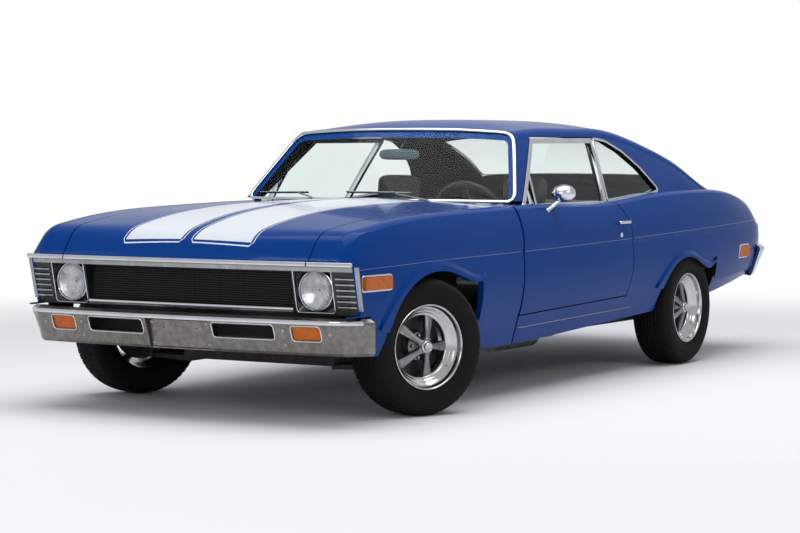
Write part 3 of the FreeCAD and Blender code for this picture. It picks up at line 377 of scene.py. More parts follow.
# Blue metallic paint with clear coat, dark on inner faces; the hood's has two white stripes.
def paintMaterial(name, striped):
    mat = material(name, paint["blue"], paint["deepBlue"], paint["rough"], scale=paint["cloud"],
                   IOR=paint["ior"], Coat_IOR=paint["ior"], Coat_Weight=paint["coat"],
                   Specular_IOR_Level=paint["specular"])
    tree = mat.node_tree
    shader = tree.nodes["Principled BSDF"].inputs
    places = next(node for node in tree.nodes if node.type == "TEX_COORD").outputs
    base, rough = (shader[label].links[0].from_socket for label in ("Base Color", "Roughness"))
    # the metallic sparkle is a painted glint added to the base colour
    colour = placeGroup(tree, "paintedGlint", {"Vector": places["Object"], "Color": base,
                                         "Glint": (*paint["glint"], 1), "Scale": paint["glintCellScale"]})["Color"]
    if striped:
        colour = mixColors(tree, stripeMask(tree, places["Object"]), colour, (*stripe["white"], 1))
    inner = placeGroup(tree, "inner", {"Vector": places["Object"], "Normal": places["Normal"],
                                       "Middle": paint["middle"], "Limit": paint["limit"]})["Mask"]
    put(tree, shader["Base Color"], mixColors(tree, inner, colour, (*paint["inside"], 1)))
    put(tree, shader["Coat Weight"],
        maths(tree, "MULTIPLY", maths(tree, "SUBTRACT", 1.0, inner), paint["coat"]))
    dull = maths(tree, "MULTIPLY", inner, paint["insideRough"])
    put(tree, shader["Roughness"], maths(tree, "MAXIMUM", rough, dull))
    return mat


looks = {
    "paint": paintMaterial("bluePaint", False),
    "stripedPaint": paintMaterial("stripedPaint", True),
    "chrome": material("brightChrome", (0.72, 0.73, 0.75), (0.62, 0.63, 0.66), (0.05, 0.11), 1.0, 9),
    "satin": material("satinMetal", (0.40, 0.405, 0.41), (0.29, 0.295, 0.30), (0.24, 0.34), 1.0, 14, 0.05),
    # front bumper chrome, dark, brownish and mottled: painted shade and painted reflection of its face below
    # the bright top
    "shadedChrome": material("shadedBumperChrome", (0.25, 0.238, 0.218), (0.155, 0.145, 0.13), (0.24, 0.40), 1.0, 34, 0.12),
    "cast": material("castWheel", (0.30, 0.305, 0.31), (0.20, 0.205, 0.21), (0.30, 0.42), 1.0, 30, 0.15),
    "dish": material("wheelDish", (0.62, 0.62, 0.62), (0.45, 0.45, 0.45), (0.10, 0.20), 1.0, 16),
    "bowl": material("lampBowl", (0.55, 0.56, 0.57), (0.28, 0.285, 0.29), (0.12, 0.30), 1.0, 24, 0.3, 60),
    "rubber": material("tyreRubber", (0.0075, 0.0075, 0.008), (0.012, 0.0115, 0.011), (0.60, 0.78), 0.0, 22,
                       0.2, 260, Specular_IOR_Level=0.3, IOR=1.25),
    "black": material("blackSatin", (0.010, 0.010, 0.011), (0.017, 0.017, 0.018), (0.32, 0.45), 0.0, 18,
                      0.08),
    "gloss": material("blackGloss", (0.008, 0.008, 0.009), (0.012, 0.012, 0.013), (0.12, 0.2), 0.0, 10,
                      Coat_Weight=0.6),
    "under": material("underBlack", (0.013, 0.013, 0.013), (0.024, 0.022, 0.020), (0.6, 0.85), 0.0, 8, 0.3),
    "iron": material("castIron", (0.055, 0.055, 0.057), (0.03, 0.028, 0.026), (0.5, 0.7), 0.6, 20, 0.35),
    "steel": material("pipeSteel", (0.42, 0.40, 0.37), (0.24, 0.21, 0.18), (0.35, 0.55), 1.0, 18, 0.2),
    "vinyl": material("blackVinyl", (0.016, 0.016, 0.017), (0.024, 0.023, 0.023), (0.38, 0.52), 0.0, 30,
                      0.35, 420),
    "glass": material("greenGlass", (0.90, 0.945, 0.93), (0.88, 0.93, 0.915), (0.0, 0.01), 0.0, 3,
                      Transmission_Weight=1.0, IOR=1.12),
    "clear": material("clearGlass", (0.96, 0.97, 0.98), (0.93, 0.95, 0.96), (0.01, 0.04), 0.0, 6,
                      Transmission_Weight=1.0, IOR=1.3),
    "amber": material("amberLens", (0.62, 0.135, 0.002), (0.44, 0.085, 0.001), (0.22, 0.35), 0.0, 40,
                      0.25, 180, Coat_Weight=0.15, Specular_IOR_Level=0.25),
    "red": material("redLens", (0.50, 0.012, 0.010), (0.36, 0.008, 0.008), (0.12, 0.25), 0.0, 40, 0.25,
                    Coat_Weight=0.6),
    "mirror": material("mirrorGlass", (0.85, 0.87, 0.88), (0.82, 0.84, 0.85), (0.01, 0.03), 1.0, 5),
    # bluish grey of the inside mirror's shell: painted reflection of the light blue it mirrors
    "paintedReflectionShell": material("paintedReflectionShell", (0.10, 0.14, 0.17), (0.08, 0.11, 0.14), (0.15, 0.3), 0.6, 12),
    # lighter blue of the crease bead: a painted highlight along the crease
    "crease": material("paintedCreaseHighlight", (0.075, 0.17, 0.48), (0.06, 0.14, 0.42), (0.2, 0.3), 0.1, 6,
                       Coat_Weight=0.3),
}
nodeLooks = {
    "stripedPaint": ["hood"],
    "paint": ["door_left_shell", "door_right_shell", "roof", "fender_left", "fender_right", "cowl",
              "quarter_left", "quarter_right", "trunk_lid", "tail_panel"],
    "black": ["nose_panel", "grille", "dashboard", "steering_wheel", "inside_mirror"],
    "chrome": ["door_left_frame", "door_right_frame", "rear_bumper", "door_mirror", "door_left_handle",
               "door_right_handle"],
    "shadedChrome": ["front_bumper"],
    "glass": ["door_left_glass", "door_right_glass", "windshield", "rear_glass"],
    "clear": ["headlamps"],
    "amber": ["turn_lamps", "side_markers"],
    "red": ["tail_lamps"],
    "cast": ["rim_front_left", "rim_front_right", "rim_rear_left", "rim_rear_right"],
    "rubber": ["tyre_front_left", "tyre_front_right", "tyre_rear_left", "tyre_rear_right"],
    "iron": ["knuckle_left", "knuckle_right", "steering_linkage", "control_arms", "front_frame", "rear_axle",
             "driveshaft", "engine_block", "gearbox"],
    "steel": ["exhaust"],
    "under": ["firewall", "engine_bay", "floor_pan", "fuel_tank"],
    "vinyl": ["front_seats", "rear_seat"],
}
for look, names in nodeLooks.items():
    for name in names:
        nodes[name].data.materials.clear()
        nodes[name].data.materials.append(looks[look])
print("materials ready")


skins = {}


# Points dropped onto a CAD node along a direction; lift moves them back out by some metres.
def onSkin(name, points, direction, lift=0.0, reach=0.6):
    if name not in skins:
        mesh = nodes[name].data
        skins[name] = BVHTree.FromPolygons([v.co for v in mesh.vertices], [p.vertices for p in mesh.polygons])
    direction = np.asarray(direction, float) / np.linalg.norm(direction)
    starts = np.asarray(points, float) - direction * reach
    hits = [skins[name].ray_cast(start, direction.tolist(), 2 * reach)[0] for start in starts.tolist()]
    return np.array([np.array(hit) - direction * lift for hit in hits if hit is not None])


# Rounded rectangle between two sides and two heights, in millimetres, as a closed loop of points.
def loopIn(sideLow, sideHigh, low, high, radius):
    flat = roundedBox(sideHigh - sideLow, high - low, radius)
    return resample(flat + [(sideLow + sideHigh) / 2, (low + high) / 2], loopPoints)


# The nose panel: its face leans forward with height and bows back with the square of the side.
nose = {"foot": 647, "low": 478, "lean": 0.224, "bow": 35, "half": 975, "lip": 720}


# Face of the nose: x = foot + (z - low) * lean - bow(y).
def faceX(y, z):
    return nose["foot"] + (np.asarray(z, float) - nose["low"]) * nose["lean"] - bow(y)


# Bow: it falls back with the square of y, by its full amount at the half width.
def bow(y):
    return nose["bow"] * (np.asarray(y, float) / nose["half"]) ** 2


faceNormal = np.array([1, 0, -nose["lean"]]) / np.hypot(1, nose["lean"])

# Bright lip along the hood's front edge, split where the hood opens.
lip = {"section": (11, 20, 16, 0.7), "steps": 60, "z": 697, "hoodHalf": 655, "gap": 6, "end": 879,
       "proud": 1.5}
for name, start, end, body in (("lip_hood", -lip["hoodHalf"], lip["hoodHalf"], "hood_lid"),
                               ("lip_left", lip["hoodHalf"] + lip["gap"], lip["end"], "root"),
                               ("lip_right", -lip["end"], -lip["hoodHalf"] - lip["gap"], "root")):
    ys = np.linspace(start, end, lip["steps"])
    sweepPiece(name, at(nose["lip"] - bow(ys) + lip["proud"], ys, lip["z"]),
               bead(*lip["section"]), (0, 0, 1), looks["chrome"], body)

# Strips across the face, above and below the grille.
stripSteps = 40
strips = {"header_strip": {"half": 866, "z": 676, "section": (23, 5, 12, 0.5), "proud": 1.5, "look": "satin"},
          "lower_moulding": {"half": 556, "z": 496, "section": (20, 9, 12, 0.5), "proud": 8,
                             "look": "chrome"}}
for name, strip in strips.items():
    ys = np.linspace(-strip["half"], strip["half"], stripSteps)
    sweepPiece(name, at(faceX(ys, strip["z"]) + strip["proud"], ys, strip["z"]), bead(*strip["section"]),
               faceNormal, looks[strip["look"]])

# Headlamps: square bright outline, black funnel to the round lamp, ring, bowl and fluted lens.
lamp = {"outline": (569, 759, 486, 674), "corner": 14, "edge": (5, 5, 10), "proud": 1.5,
        "y": 663, "z": 581, "back": 600,
        "ring": [(6, 90.4), (20, 90.8), (34, 90.6), (38, 88.5), (39, 86), (37, 83.5), (30, 82.5), (6, 82)],
        "bowl": [(6, 4), (8, 20), (13, 45), (22, 68), (30, 81.5),
                 (27, 82), (19, 70), (9, 46), (4, 20), (2, 4)],
        "ringColumns": 72, "bowlColumns": 56}
funnel = {"width": 182, "corner": 14, "radius": 91, "y": 664, "end": 620, "sunk": 1, "wall": 0.004,
          "shares": (0, 0.3, 0.7, 1)}
louvre = {"count": 6, "first": 513.5, "step": 24.4, "inner": 776, "outer": 868, "proud": 1,
          "section": (9, 8, 10, 0.6), "steps": 14}
endTrim = {"top": 688, "bottom": 500, "y": 884, "taper": 0.012, "sunk": 1, "section": (24, 10, 14, 0.6),
           "steps": 24}
for tag, side in sides:
    flat = loopIn(*lamp["outline"], lamp["corner"])
    path = at(faceX(flat[:, 0], flat[:, 1]) + lamp["proud"], side * flat[:, 0], flat[:, 1])
    sweepPiece("lamp_outline_" + tag, path, bead(*lamp["edge"]), faceNormal, looks["chrome"], wrap=True)
    # funnel: square ring * (1 - share) + circle * share, with a second skin behind the first
    square = resample(roundedBox(funnel["width"], funnel["width"], funnel["corner"]), loopPoints)
    angle = np.arctan2(square[:, 1], square[:, 0])
    circle = funnel["radius"] * np.stack([np.cos(angle), np.sin(angle)], -1)
    rows = []
    for share in funnel["shares"]:
        ring = square * (1 - share) + circle * share
        y, z = funnel["y"] + ring[:, 0], lamp["z"] + ring[:, 1]
        rows.append(at((faceX(y, z) - funnel["sunk"]) * (1 - share) + funnel["end"] * share, side * y, z))
    rows += [row - [funnel["wall"], 0, 0] for row in rows[::-1]]
    makePiece("lamp_funnel_" + tag, np.array(rows), gridFaces(len(rows), loopPoints, wrapRows=True),
              looks["gloss"], "root", "trim_black")
    centre = at(lamp["back"], side * lamp["y"], lamp["z"])
    makePiece("lamp_ring_" + tag, *turned(lamp["ring"], centre, (1, 0, 0), (0, 0, 1), lamp["ringColumns"]),
              looks["chrome"], "root", "chrome")
    makePiece("lamp_bowl_" + tag, *turned(lamp["bowl"], centre, (1, 0, 0), (0, 0, 1), lamp["bowlColumns"]),
              looks["bowl"], "root", "chrome")
    slats = []
    for row in range(louvre["count"]):
        ys = np.linspace(louvre["inner"], louvre["outer"], louvre["steps"])
        z = louvre["first"] + row * louvre["step"]
        path = at(faceX(ys, z) + louvre["proud"], side * ys, z)
        slats.append(closedGrid(sweep(path, bead(*louvre["section"]), faceNormal)))
    joined("louvre_slats_" + tag, slats, looks["satin"])
    # from the lip down the outer corner of the nose
    zs = np.linspace(endTrim["top"], endTrim["bottom"], endTrim["steps"])
    ys = side * (endTrim["y"] - (endTrim["top"] - zs) * endTrim["taper"])
    sweepPiece("nose_end_trim_" + tag, at(faceX(endTrim["y"], zs) - endTrim["sunk"], ys, zs),
               bead(*endTrim["section"]), faceNormal, looks["satin"])

# Lens: dome = edge + rise * (1 - r squared) + flutes * (1 - r to the eighth), and the same dome behind
# without flutes.
lens = {"radius": 83.5, "edge": 633, "rise": 14, "flute": 8.5, "depth": 0.5, "thick": 3.2, "rings": 20,
        "columns": 96}
parts = []
for tag, side in sides:
    r = np.linspace(0, 1, lens["rings"])[:, None]
    t = np.linspace(0, 2 * pi, lens["columns"], endpoint=False)[None]
    y, z = lens["radius"] * r * np.cos(t), lens["radius"] * r * np.sin(t)
    dome = lens["edge"] + lens["rise"] * (1 - r ** 2)
    flutes = lens["depth"] * np.cos(2 * pi * y / lens["flute"]) * (1 - r ** 8)
    outer = at(dome + flutes, side * lamp["y"] + y, lamp["z"] + z)
    inner = at(lens["edge"] - lens["thick"] + lens["rise"] * (1 - r ** 2) + 0 * t, side * lamp["y"] + y,
               lamp["z"] + z)[::-1]
    parts.append((np.concatenate([outer, inner]).reshape(-1, 3),
                  gridFaces(2 * lens["rings"], lens["columns"])))
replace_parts(joined("headlamp_lenses", parts, looks["clear"], "root", "lamp_glass"), "headlamps")

# Fine grille bars: rods across, thinner ones upright, and a dark plate behind.
grille = {"half": 556, "low": 508, "high": 661, "front": 634, "bars": 15, "barInset": 4, "barDepth": 5,
          "uprights": 9, "uprightInset": 20, "uprightDepth": 16, "bar": (12, 4.2, 10, 0.6),
          "upright": (4, 4, 8, 0.6),
          "plate": {"half": 558, "low": 506, "high": 663, "front": 613, "back": 609}}
parts = []
for z in np.linspace(grille["low"] + grille["barInset"], grille["high"] - grille["barInset"], grille["bars"]):
    path = at(grille["front"] - grille["barDepth"],
              np.linspace(-grille["half"], grille["half"], rodPoints), z)
    parts.append(closedGrid(sweep(path, bead(*grille["bar"]), (0, 0, 1))))
uprightEnd = grille["half"] - grille["uprightInset"]
for y in np.linspace(-uprightEnd, uprightEnd, grille["uprights"]):
    path = at(grille["front"] - grille["uprightDepth"], y,
              np.linspace(grille["low"], grille["high"], rodPoints))
    parts.append(closedGrid(sweep(path, bead(*grille["upright"]), (0, 1, 0))))
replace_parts(joined("grille_bars", parts, looks["black"], "root", "trim_black"), "grille")
plate = grille["plate"]
ys = plate["half"] * np.array([-1, -1, 1, 1])
zs = np.array([plate["low"], plate["high"], plate["high"], plate["low"]])
makePiece("grille_back", *closedGrid(np.stack([at(plate[face], ys, zs) for face in ("front", "back")])),
          looks["under"], "root", "trim_black")
print("nose ready")

# Front bumper: rims of its slots and lamps, round-headed bolts, and a black line round the bare plate that is
# a painted shadow line.
bumper = {"slot": (192, 498, 372, 430), "lamp": (590, 724, 370, 428), "grow": 5, "corner": 16,
          "edge": (6, 6, 10),
          "bolts": ((546, 408), (546, 346), (770, 400), (150, 424), (150, 330)),
          "bolt": [(-2, 11), (1, 11), (2.6, 10), (3.4, 7.5), (6.5, 7),
                   (8.5, 5), (9.4, 2), (9.6, 0.3), (-2, 0.3)],
          "plate": (-166, 166, 312, 436), "plateCorner": 10, "plateShadowSection": (6, 3, 8), "boltAxis": (1, 0, -0.1),
          "boltColumns": 24, "start": 800, "lift": 0.0008, "reach": 0.3}
for tag, side in sides:
    for what in ("slot", "lamp"):
        left, right, low, high = bumper[what]
        grow = bumper["grow"]
        flat = loopIn(left - grow, right + grow, low - grow, high + grow, bumper["corner"])
        path = onSkin("front_bumper", at(bumper["start"], side * flat[:, 0], flat[:, 1]), (-1, 0, 0),
                      bumper["lift"], bumper["reach"])
        sweepPiece("%s_rim_%s" % (what, tag), path, bead(*bumper["edge"]), (1, 0, 0), looks["chrome"],
                   wrap=True)
bolts = []
for tag, side in sides:
    for y, z in bumper["bolts"]:
        for spot in onSkin("front_bumper", at(bumper["start"], [side * y], [z]), (-1, 0, 0), 0,
                           bumper["reach"]):
            bolts.append(turned(bumper["bolt"], spot, bumper["boltAxis"], (0, 0, 1), bumper["boltColumns"]))
joined("bumper_bolts", bolts, looks["satin"])
# black bead round the plate: painted shadow line along the plate's edge
flat = loopIn(*bumper["plate"], bumper["plateCorner"])
path = onSkin("front_bumper", at(bumper["start"], flat[:, 0], flat[:, 1]), (-1, 0, 0), 0.0, bumper["reach"])
sweepPiece("plate_shadow_line", path, bead(*bumper["plateShadowSection"]), (1, 0, 0), looks["black"], "root", "trim_black",
           wrap=True)
print("bumper ready")

# Bright bezels of the side markers: (rear edge, front edge, bottom, top).
marker = {"fender_": ("front", 403, 617, 587, 641), "quarter_": ("rear", -3627, -3480, 557, 620),
          "grow": 5, "corner": 8, "start": 1000, "lift": 0.001, "reach": 0.4, "section": (9, 7, 10, 0.7)}
for tag, side in sides:
    for node in ("fender_", "quarter_"):
        where, back, front, low, high = marker[node]
        grow = marker["grow"]
        flat = loopIn(back - grow, front + grow, low - grow, high + grow, marker["corner"])
        path = onSkin(node + tag, at(flat[:, 0], side * marker["start"], flat[:, 1]), (0, -side, 0),
                      marker["lift"], marker["reach"])
        sweepPiece("marker_bezel_%s_%s" % (where, tag), path, bead(*marker["section"]), (0, side, 0),
                   looks["chrome"], wrap=True)

# Wheels: the front ones stand turned about their kingpins, as in the photograph.
wheel = {"radius": 308, "kingpin": 690, "kingpinOffset": 135, "turn": radians(22), "rearAxle": -2790,
         "rearHalf": 776, "firstSpoke": 0.35, "tyreColumns": 360, "rimColumns": 96, "hubColumns": 60,
         "brakeColumns": 72, "valveColumns": 12, "nutSides": 6, "sharp": 30}
tyre = {"wall": [(86, 190.5), (92, 193), (98, 203), (105, 222), (109.3, 240), (109.6, 244), (108.6, 246),
                 (109.4, 250), (107.6, 266), (106.2, 270), (106.6, 273), (103.5, 281), (98, 289), (90, 297),
                 (80, 302.6), (70, 305)],
        "inside": [(-80, 190.2), (0, 190.2), (80, 190.2)], "grooves": (50, 29, 8), "crown": 0.02,
        # distance from the groove's middle, radius, and 1 where the crown is added
        "groove": np.array([(6, 306.6, 1), (3.2, 306.9, 1), (2.4, 300.5, 0),
                            (-2.4, 300.5, 0), (-3.2, 307.2, 0), (-6, 307.4, 0)]),
        "blocks": 60,
        "slot": {"from": 52, "to": 101, "rise": 6, "fall": 5, "slant": 0.010, "share": 0.17, "depth": 0.0048},
        "sipe": {"from": 11, "to": 47, "slant": 0.045, "share": 0.10, "depth": 0.0035}}
spoke = {"count": 5, "start": 30, "end": 139, "hubFace": 77, "rimFace": 38, "hubHalf": 11, "rimHalf": 25,
         "flare": 5, "flareShare": 14, "widen": 1.3, "fall": 0.85, "deep": 24, "rows": 22,
         "section": np.array([(-1.0, 0.0), (-1.0, 0.55), (-0.92, 0.78), (-0.62, 0.95), (-0.2, 1.0),
                              (0.2, 1.0), (0.62, 0.95), (0.92, 0.78), (1.0, 0.55), (1.0, 0.0)])}
nut = {"circle": 0.050, "sunk": -0.004,
       "profile": [(30, 0.2), (30, 9), (44, 9), (48, 7.6), (50, 4), (50.4, 0.2)]}
valve = {"circle": 0.157, "angle": 2.2,
         "profile": [(40, 0.3), (40, 3.2), (52, 3.2), (54, 2.4), (60, 2.4), (61, 0.3)]}
cap = {"forward": 34, "flat": 0.72,
       "profile": [(30, 0.5), (30, 40), (44, 40), (48, 37.5), (50, 33), (50.5, 30), (58, 29),
                   (61, 27), (62, 24), (61, 22), (60.5, 15), (60.2, 8), (60, 0.5)]}
rimProfile = [(95.5, 190.4), (97, 187.5), (95, 184), (90, 181.5), (84, 180), (72, 177), (69, 173), (66, 169),
              (57, 163), (54, 158), (51, 154), (44, 149), (42, 145), (39, 139), (32, 135.5), (16, 135),
              (8, 139), (-60, 172), (-90, 182), (-95, 190), (-93, 190.2), (-88, 186.2), (80, 186.2),
              (90, 189.5)]
hubProfile = [(-26, 0.5), (-26, 64), (-10, 64), (-6, 60), (0, 46),
              (12, 36), (34, 33), (40, 31), (42, 24), (42, 0.5)]
brakeProfile = [(-30, 40), (-30, 138), (-27, 140), (-17, 140), (-14, 138),
                (-14, 72), (-2, 66), (2, 60), (2, 40)]


# Tyre section: wall and grooved tread of one half, the same mirrored, and the inside.
def tyreProfile():
    tread = [(groove + along, radius + raised * (tyre["grooves"][0] - groove) * tyre["crown"])
             for groove in tyre["grooves"] for along, radius, raised in tyre["groove"]]
    half = np.array(tyre["wall"] + tread)
    return np.concatenate([half, (half * [-1, 1])[::-1], np.array(tyre["inside"])])


# Tread pattern: radius falls inside slots across the shoulder, slanted with the distance from the
# middle, and inside fine cuts across the middle ribs.
def tyreWobble(along, angle):
    slot, sipe = tyre["slot"], tyre["sipe"]
    away = abs(along) * 1000
    blocks = angle * tyre["blocks"] / (2 * pi)
    shoulder = (np.clip((away - slot["from"]) / slot["rise"], 0, 1)
                * np.clip((slot["to"] - away) / slot["fall"], 0, 1))
    inSlot = ((blocks + away * slot["slant"] * np.sign(along)) % 1.0 < slot["share"]).astype(float)
    middle = ((away < sipe["to"]) & (away > sipe["from"])).astype(float)
    inSipe = (blocks + along * 1000 * sipe["slant"]) % 1.0 < sipe["share"]
    return -(shoulder * inSlot * slot["depth"] + middle * inSipe * sipe["depth"])


# Spoke: half width grows and the ridge falls from hub to rim, and a point of the section is
# (half * across, ridge - depth * (1 - height)).
def spokeGrid(centre, axis, outward, sideways):
    share = np.linspace(0, 1, spoke["rows"])
    radius = (spoke["start"] + (spoke["end"] - spoke["start"]) * share) / 1000
    half = (spoke["hubHalf"] + (spoke["rimHalf"] - spoke["hubHalf"]) * share ** spoke["widen"]
            + spoke["flare"] * np.exp(-share * spoke["flareShare"])) / 1000
    ridge = (spoke["hubFace"] + (spoke["rimFace"] - spoke["hubFace"]) * share ** spoke["fall"]) / 1000
    across, height = spoke["section"].T[:, None]
    return (centre + radius[:, None, None] * outward + (half[:, None] * across)[..., None] * sideways
            + (ridge[:, None] - spoke["deep"] / 1000 * (1 - height))[..., None] * axis)


up = np.array([0, 0, 1.0])
turn, offset = wheel["turn"], wheel["kingpinOffset"]
wheels = {}
for tag, side in sides:
    wheels["front_" + tag] = (at(side * offset * sin(turn), side * (wheel["kingpin"] + offset * cos(turn)),
                                 wheel["radius"]), np.array([side * sin(turn), side * cos(turn), 0.0]))
for tag, side in sides:
    wheels["rear_" + tag] = (at(wheel["rearAxle"], side * wheel["rearHalf"], wheel["radius"]),
                             np.array([0.0, side, 0.0]))
for tag, (centre, axis) in wheels.items():
    body = "wheel_" + tag
    ahead = np.cross(up, axis)
    piece = makePiece("tyre_%s_tread" % tag,
                      *turned(tyreProfile(), centre, axis, up, wheel["tyreColumns"], tyreWobble),
                      looks["rubber"], body, "tyre", wheel["sharp"])
    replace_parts(piece, "tyre_" + tag)
    piece = makePiece("rim_%s_dish" % tag, *turned(rimProfile, centre, axis, up, wheel["rimColumns"]),
                      looks["dish"], body, "wheel_metal")
    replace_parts(piece, "rim_" + tag)
    spokes, nuts = [], []
    for i in range(spoke["count"]):
        angle = 2 * pi * i / spoke["count"] + wheel["firstSpoke"]
        spokes.append(closedGrid(spokeGrid(centre, axis, cos(angle) * up + sin(angle) * ahead,
                                           -sin(angle) * up + cos(angle) * ahead)))
        angle = 2 * pi * (i + 0.5) / spoke["count"] + wheel["firstSpoke"]
        spot = centre + axis * nut["sunk"] + nut["circle"] * (cos(angle) * up + sin(angle) * ahead)
        nuts.append(turned(nut["profile"], spot, axis, up, wheel["nutSides"]))
    joined("spokes_" + tag, spokes, looks["cast"], body, "wheel_metal", wheel["sharp"])
    front = centre + axis * cap["forward"] / 1000
    makePiece("hub_" + tag, *turned(hubProfile, front, axis, up, wheel["hubColumns"]), looks["cast"], body,
              "wheel_metal")
    makePiece("cap_" + tag,
              *turned(np.array(cap["profile"]) * [1, cap["flat"]], front, axis, up, wheel["hubColumns"]),
              looks["dish"], body, "chrome")
    joined("nuts_" + tag, nuts, looks["satin"], body, "chrome", wheel["sharp"])
    makePiece("brake_" + tag, *turned(brakeProfile, centre, axis, up, wheel["brakeColumns"]),
              looks["iron"], body, "steel")
    spot = centre + valve["circle"] * (cos(valve["angle"]) * up + sin(valve["angle"]) * ahead)
    makePiece("valve_" + tag, *turned(valve["profile"], spot, axis, up, wheel["valveColumns"]),
              looks["satin"], body, "chrome")
print("wheels ready")

# Bright mouldings round the windshield, the quarter windows and the back window.
moulding = {"section": (16, 7, 12, 0.7), "quarterSection": (14, 7, 12, 0.7), "proud": 4}
windshield = {"foot": -930, "base": 937, "angle": radians(39.6), "bow": 26, "half": 915, "grow": 0.004}
glassNormal = (cos(windshield["angle"]), 0, sin(windshield["angle"]))
flat = paneLoop(nodePoints("windshield"), [1, 2], windshield["grow"])
xs = (windshield["foot"] - (flat[:, 1] * 1000 - windshield["base"]) * tan(windshield["angle"])
      - windshield["bow"] * (flat[:, 0] * 1000 / windshield["half"]) ** 2 + moulding["proud"])
path = np.stack([frontAxle + xs / 1000, flat[:, 0], flat[:, 1]], -1)
sweepPiece("windshield_moulding", path, bead(*moulding["section"]), glassNormal, looks["chrome"], wrap=True)

quarter = {"inner": 0.632, "grow": 0.006, "belt": 893, "beltHalf": 799, "lean": 0.442, "proud": 3}
panes = nodePoints("rear_glass")
for tag, side in sides:
    flat = paneLoop(panes[panes[:, 1] * side > quarter["inner"]], [0, 2], quarter["grow"], rounds=3)
    ys = quarter["beltHalf"] - (flat[:, 1] * 1000 - quarter["belt"]) * quarter["lean"] + quarter["proud"]
    sweepPiece("quarter_moulding_" + tag, np.stack([flat[:, 0], side * ys / 1000, flat[:, 1]], -1),
               bead(*moulding["quarterSection"]), (0, side, quarter["lean"]), looks["chrome"], wrap=True)

# The back window's loop is seen from above, dropped onto the pane inside its edge and grown to the edge.
backWindow = {"half": 0.6205, "front": -0.855, "inset": -0.004, "above": 1.6, "reach": 1.2, "lift": 0.004,
              "grow": 0.012, "raise": 0.001}
back = panes[(abs(panes[:, 1]) < backWindow["half"]) & (panes[:, 0] < backWindow["front"])]
flat = paneLoop(back, [0, 1], backWindow["inset"])
path = onSkin("rear_glass", np.c_[flat, np.full(len(flat), backWindow["above"])], (0, 0, -1),
              backWindow["lift"], backWindow["reach"])
middle = path.mean(0)
path = path + (path - middle) * backWindow["grow"]
path[:, 2] += backWindow["raise"]
backNormal = np.cross(path[len(path) // 4] - middle, path[0] - middle)
backNormal *= np.sign(backNormal[2]) / np.linalg.norm(backNormal)
sweepPiece("back_window_moulding", path, bead(*moulding["section"]), backNormal, looks["chrome"], wrap=True)

# Thin beads along the side crease and the rocker, split at the doors: (along, up) places. The crease bead's
# lighter blue is a painted highlight of the rounded crease; the rocker bead is a bright satin moulding.
crease = {"line": [(-3860, 762), (-3340, 751), (-2849, 738), (-2076, 717), (-1603, 707), (-1108, 699),
                   (-746, 695), (-357, 692), (99, 687), (522, 677), (707, 672)],
          "rocker": [(-2113, 352), (-1638, 343), (-1193, 335), (-696, 325)],
          "runs": {"crease_front": ("line", "fender_%s", "root", -818, 640, "crease", 2.8),
                   "crease_door": ("line", "door_%s_shell", "door_%s", -2024, -842, "crease", 2.8),
                   "crease_rear": ("line", "quarter_%s", "root", -3850, -2046, "crease", 2.8),
                   "rocker_line": ("rocker", "quarter_%s", "root", -2105, -840, "satin", 4)},
          "start": 1100, "lift": 0.0003, "reach": 0.5, "steps": 60, "sectionPoints": 8}
for tag, side in sides:
    for name, (table, node, body, start, end, look, wide) in crease["runs"].items():
        xs = np.linspace(start, end, crease["steps"])
        zs = np.interp(xs, *np.array(crease[table], float).T)
        path = onSkin(node.replace("%s", tag), at(xs, side * crease["start"], zs), (0, -side, 0),
                      crease["lift"], crease["reach"])
        sweepPiece(name + "_" + tag, path, bead(wide, wide, crease["sectionPoints"]), (0, side, 0),
                   looks[look], body.replace("%s", tag), "paint")

# Wipers: places of the pivot, the end of the arm and both ends of the blade.
wiper = {"driver": ((-880, 378, 905), (-958, 96, 960), (-960, -190, 966), (-960, 186, 964)),
         "passenger": ((-880, -310, 913), (-955, -480, 958), (-958, -715, 958), (-958, -420, 962))}
wiperShape = {"kink": (-30, -60, 26), "arm": (10, 4, 10, 0.6), "armUp": (0.5, 0, 1),
              "blade": (6, 9, 10, 0.6), "rubber": (4, 8, 8, 0.6), "sunk": (-7, 0, -4),
              "pivotAxis": (0.3, 0, 1),
              "pivot": [(-14, 0.4), (-14, 11), (2, 11), (6, 9), (8, 5), (8.5, 0.4)], "pivotColumns": 20,
              "steps": 20, "rubberSteps": 12}
for tag, (pivot, elbow, tip, heel) in wiper.items():
    arm = bentLine([pivot, np.add(pivot, wiperShape["kink"]), elbow], wiperShape["steps"])
    blade = bentLine([tip, heel], wiperShape["steps"])
    parts = [closedGrid(sweep(arm, bead(*wiperShape["arm"]), wiperShape["armUp"])),
             closedGrid(sweep(blade, bead(*wiperShape["blade"]), glassNormal)),
             turned(wiperShape["pivot"], at(*pivot), wiperShape["pivotAxis"], (1, 0, 0),
                    wiperShape["pivotColumns"])]
    joined("wiper_" + tag, parts, looks["satin"])
    rubber = bentLine(np.add([tip, heel], wiperShape["sunk"]), wiperShape["rubberSteps"])
    sweepPiece("wiper_rubber_" + tag, rubber, bead(*wiperShape["rubber"]), glassNormal, looks["black"],
               "root", "trim_black")

